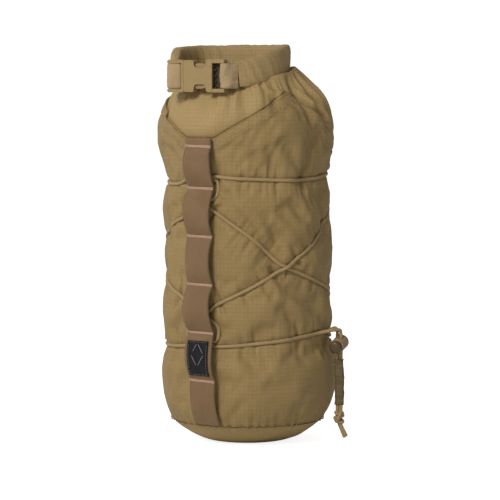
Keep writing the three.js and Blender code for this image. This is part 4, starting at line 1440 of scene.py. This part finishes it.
def make_sleeve():
    """A folded strip of ripstop sewn round both cords, open at each end."""
    low, high = 31.2, 67.8
    columns, rows = 56, 60
    turn = turns(columns)
    t = np.linspace(0, 1, rows)[:, None]
    height = low + (high - low) * t
    from_end = np.minimum(height - low, high - height)
    pinch, flare = 0.35 * bell(from_end - 4.2, 1.6), 0.3 * np.exp(-from_end / 1.5)
    wrinkle = 0.2 * FINE_PLEATS(height * 0.9 + 2.2 * np.sin(turn)) + 0.22 * SLOW(height * 4 + 15 * turn)
    radius = 2.35 + 0.15 * SLOW(height * 2.7) - pinch + flare + wrinkle
    lap = 0.5 * bell(turn - 4.4, 0.25)
    x = TAIL_SPACING * np.clip(np.cos(turn) * 3, -1, 1) + radius * np.cos(turn) + 0.35 * np.sin(t * 4)
    y = (radius + lap) * np.sin(turn) * 0.92
    z = height + 0.25 * np.sin(3 * turn) * np.exp(-from_end / 2)
    grid = pull_points(tuples(x, y, z))
    uv = tuples(np.arange(columns + 1)[None, :] * 2 * math.pi / columns * 2.9, height)
    sleeve = sheet("pull_sleeve_cloth", grid, uv, SLEEVE, wrap=True, thickness=0.4)
    placed(sleeve, "ripstop", "pull", "pull_sleeve")
    rings = grid[[int(rows * 0.1), int(rows * 0.88)]]
    outward = unit(rings - rings.mean(axis=1, keepdims=True))[:, ::3].reshape(-1, 3)
    points = rings[:, ::3].reshape(-1, 3) + outward * 0.12
    along = np.cross(UP, outward)
    threads = thread_bars("sleeve_stitches", points, along, outward, 1.1, 0.16, SEAM_THREAD)
    placed(threads, "thread", "pull")


make_lock()
make_tail_cords()
make_knot()
make_sleeve()
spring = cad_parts["cord_lock_spring"]
spring.data.materials.clear()
spring.data.materials.append(STEEL)

# ---- camera, light and floor

TARGET = Vector((0.0017, 0.0011, 0.1535))
AZIMUTH, ELEVATION, DISTANCE = math.radians(34), math.radians(4), 1.86
TO_CAMERA = Vector((math.sin(AZIMUTH) * math.cos(ELEVATION), -math.cos(AZIMUTH) * math.cos(ELEVATION),
                    math.sin(ELEVATION)))
TO_RIGHT = Vector((math.cos(AZIMUTH), math.sin(AZIMUTH), 0))


def aimed(name, data, place):
    """An object at a place, looking at the sack."""
    obj = bpy.data.objects.new(name, data)
    obj.location = place
    obj.rotation_euler = (TARGET - place).to_track_quat("-Z", "Y").to_euler()
    bpy.context.scene.collection.objects.link(obj)
    return obj


def area_light(name, side, height, front, size, power):
    light = bpy.data.lights.new(name, "AREA")
    light.shape = "DISK"
    light.size = size
    light.energy = power
    aimed(name, light, TARGET + TO_RIGHT * side + TO_CAMERA * front + Vector((0, 0, height)))


def make_floor():
    """A plain pale floor that lights itself a little for the camera only."""
    shader = Shader("pale_floor", 0.9)
    shader.tones((243, 243, 243), (shader.spread(shader.noise(3.0), 0.25), 0.985))
    shader.set("Emission Color", (1, 1, 1, 1))
    seen = shader.node("LightPath").outputs["Is Camera Ray"]
    shader.set("Emission Strength", shader.math("MULTIPLY", seen, 0.85))
    bpy.ops.mesh.primitive_circle_add(vertices=96, radius=6, fill_type="NGON")
    floor = bpy.context.object
    floor.name = "floor"
    floor.data.materials.append(shader.material)


def make_world():
    """Soft white light all round, and a white background."""
    world = bpy.data.worlds.new("studio")
    world.use_nodes = True
    nodes, links = world.node_tree.nodes, world.node_tree.links
    background = nodes["Background"]
    background.inputs["Color"].default_value = (1, 1, 1, 1)
    strength = nodes.new("ShaderNodeMapRange")
    strength.inputs["To Min"].default_value = 0.25
    strength.inputs["To Max"].default_value = 1.05
    links.new(nodes.new("ShaderNodeLightPath").outputs["Is Camera Ray"], strength.inputs["Value"])
    links.new(strength.outputs["Result"], background.inputs["Strength"])
    bpy.context.scene.world = world


def make_stage():
    lens = bpy.data.cameras.new("camera")
    lens.lens = 165
    lens.sensor_width = 36
    bpy.context.scene.camera = aimed("camera", lens, TARGET + TO_CAMERA * DISTANCE)
    make_floor()
    make_world()
    area_light("key", -0.98, 1.15, 1.5, 0.7, 29.5)
    area_light("fill", 1.3, 0.3, 0.9, 1.2, 1.3)
    area_light("rim", -1.3, 0.7, -0.5, 0.8, 4)
    bpy.context.scene.view_settings.view_transform = "Standard"


make_stage()
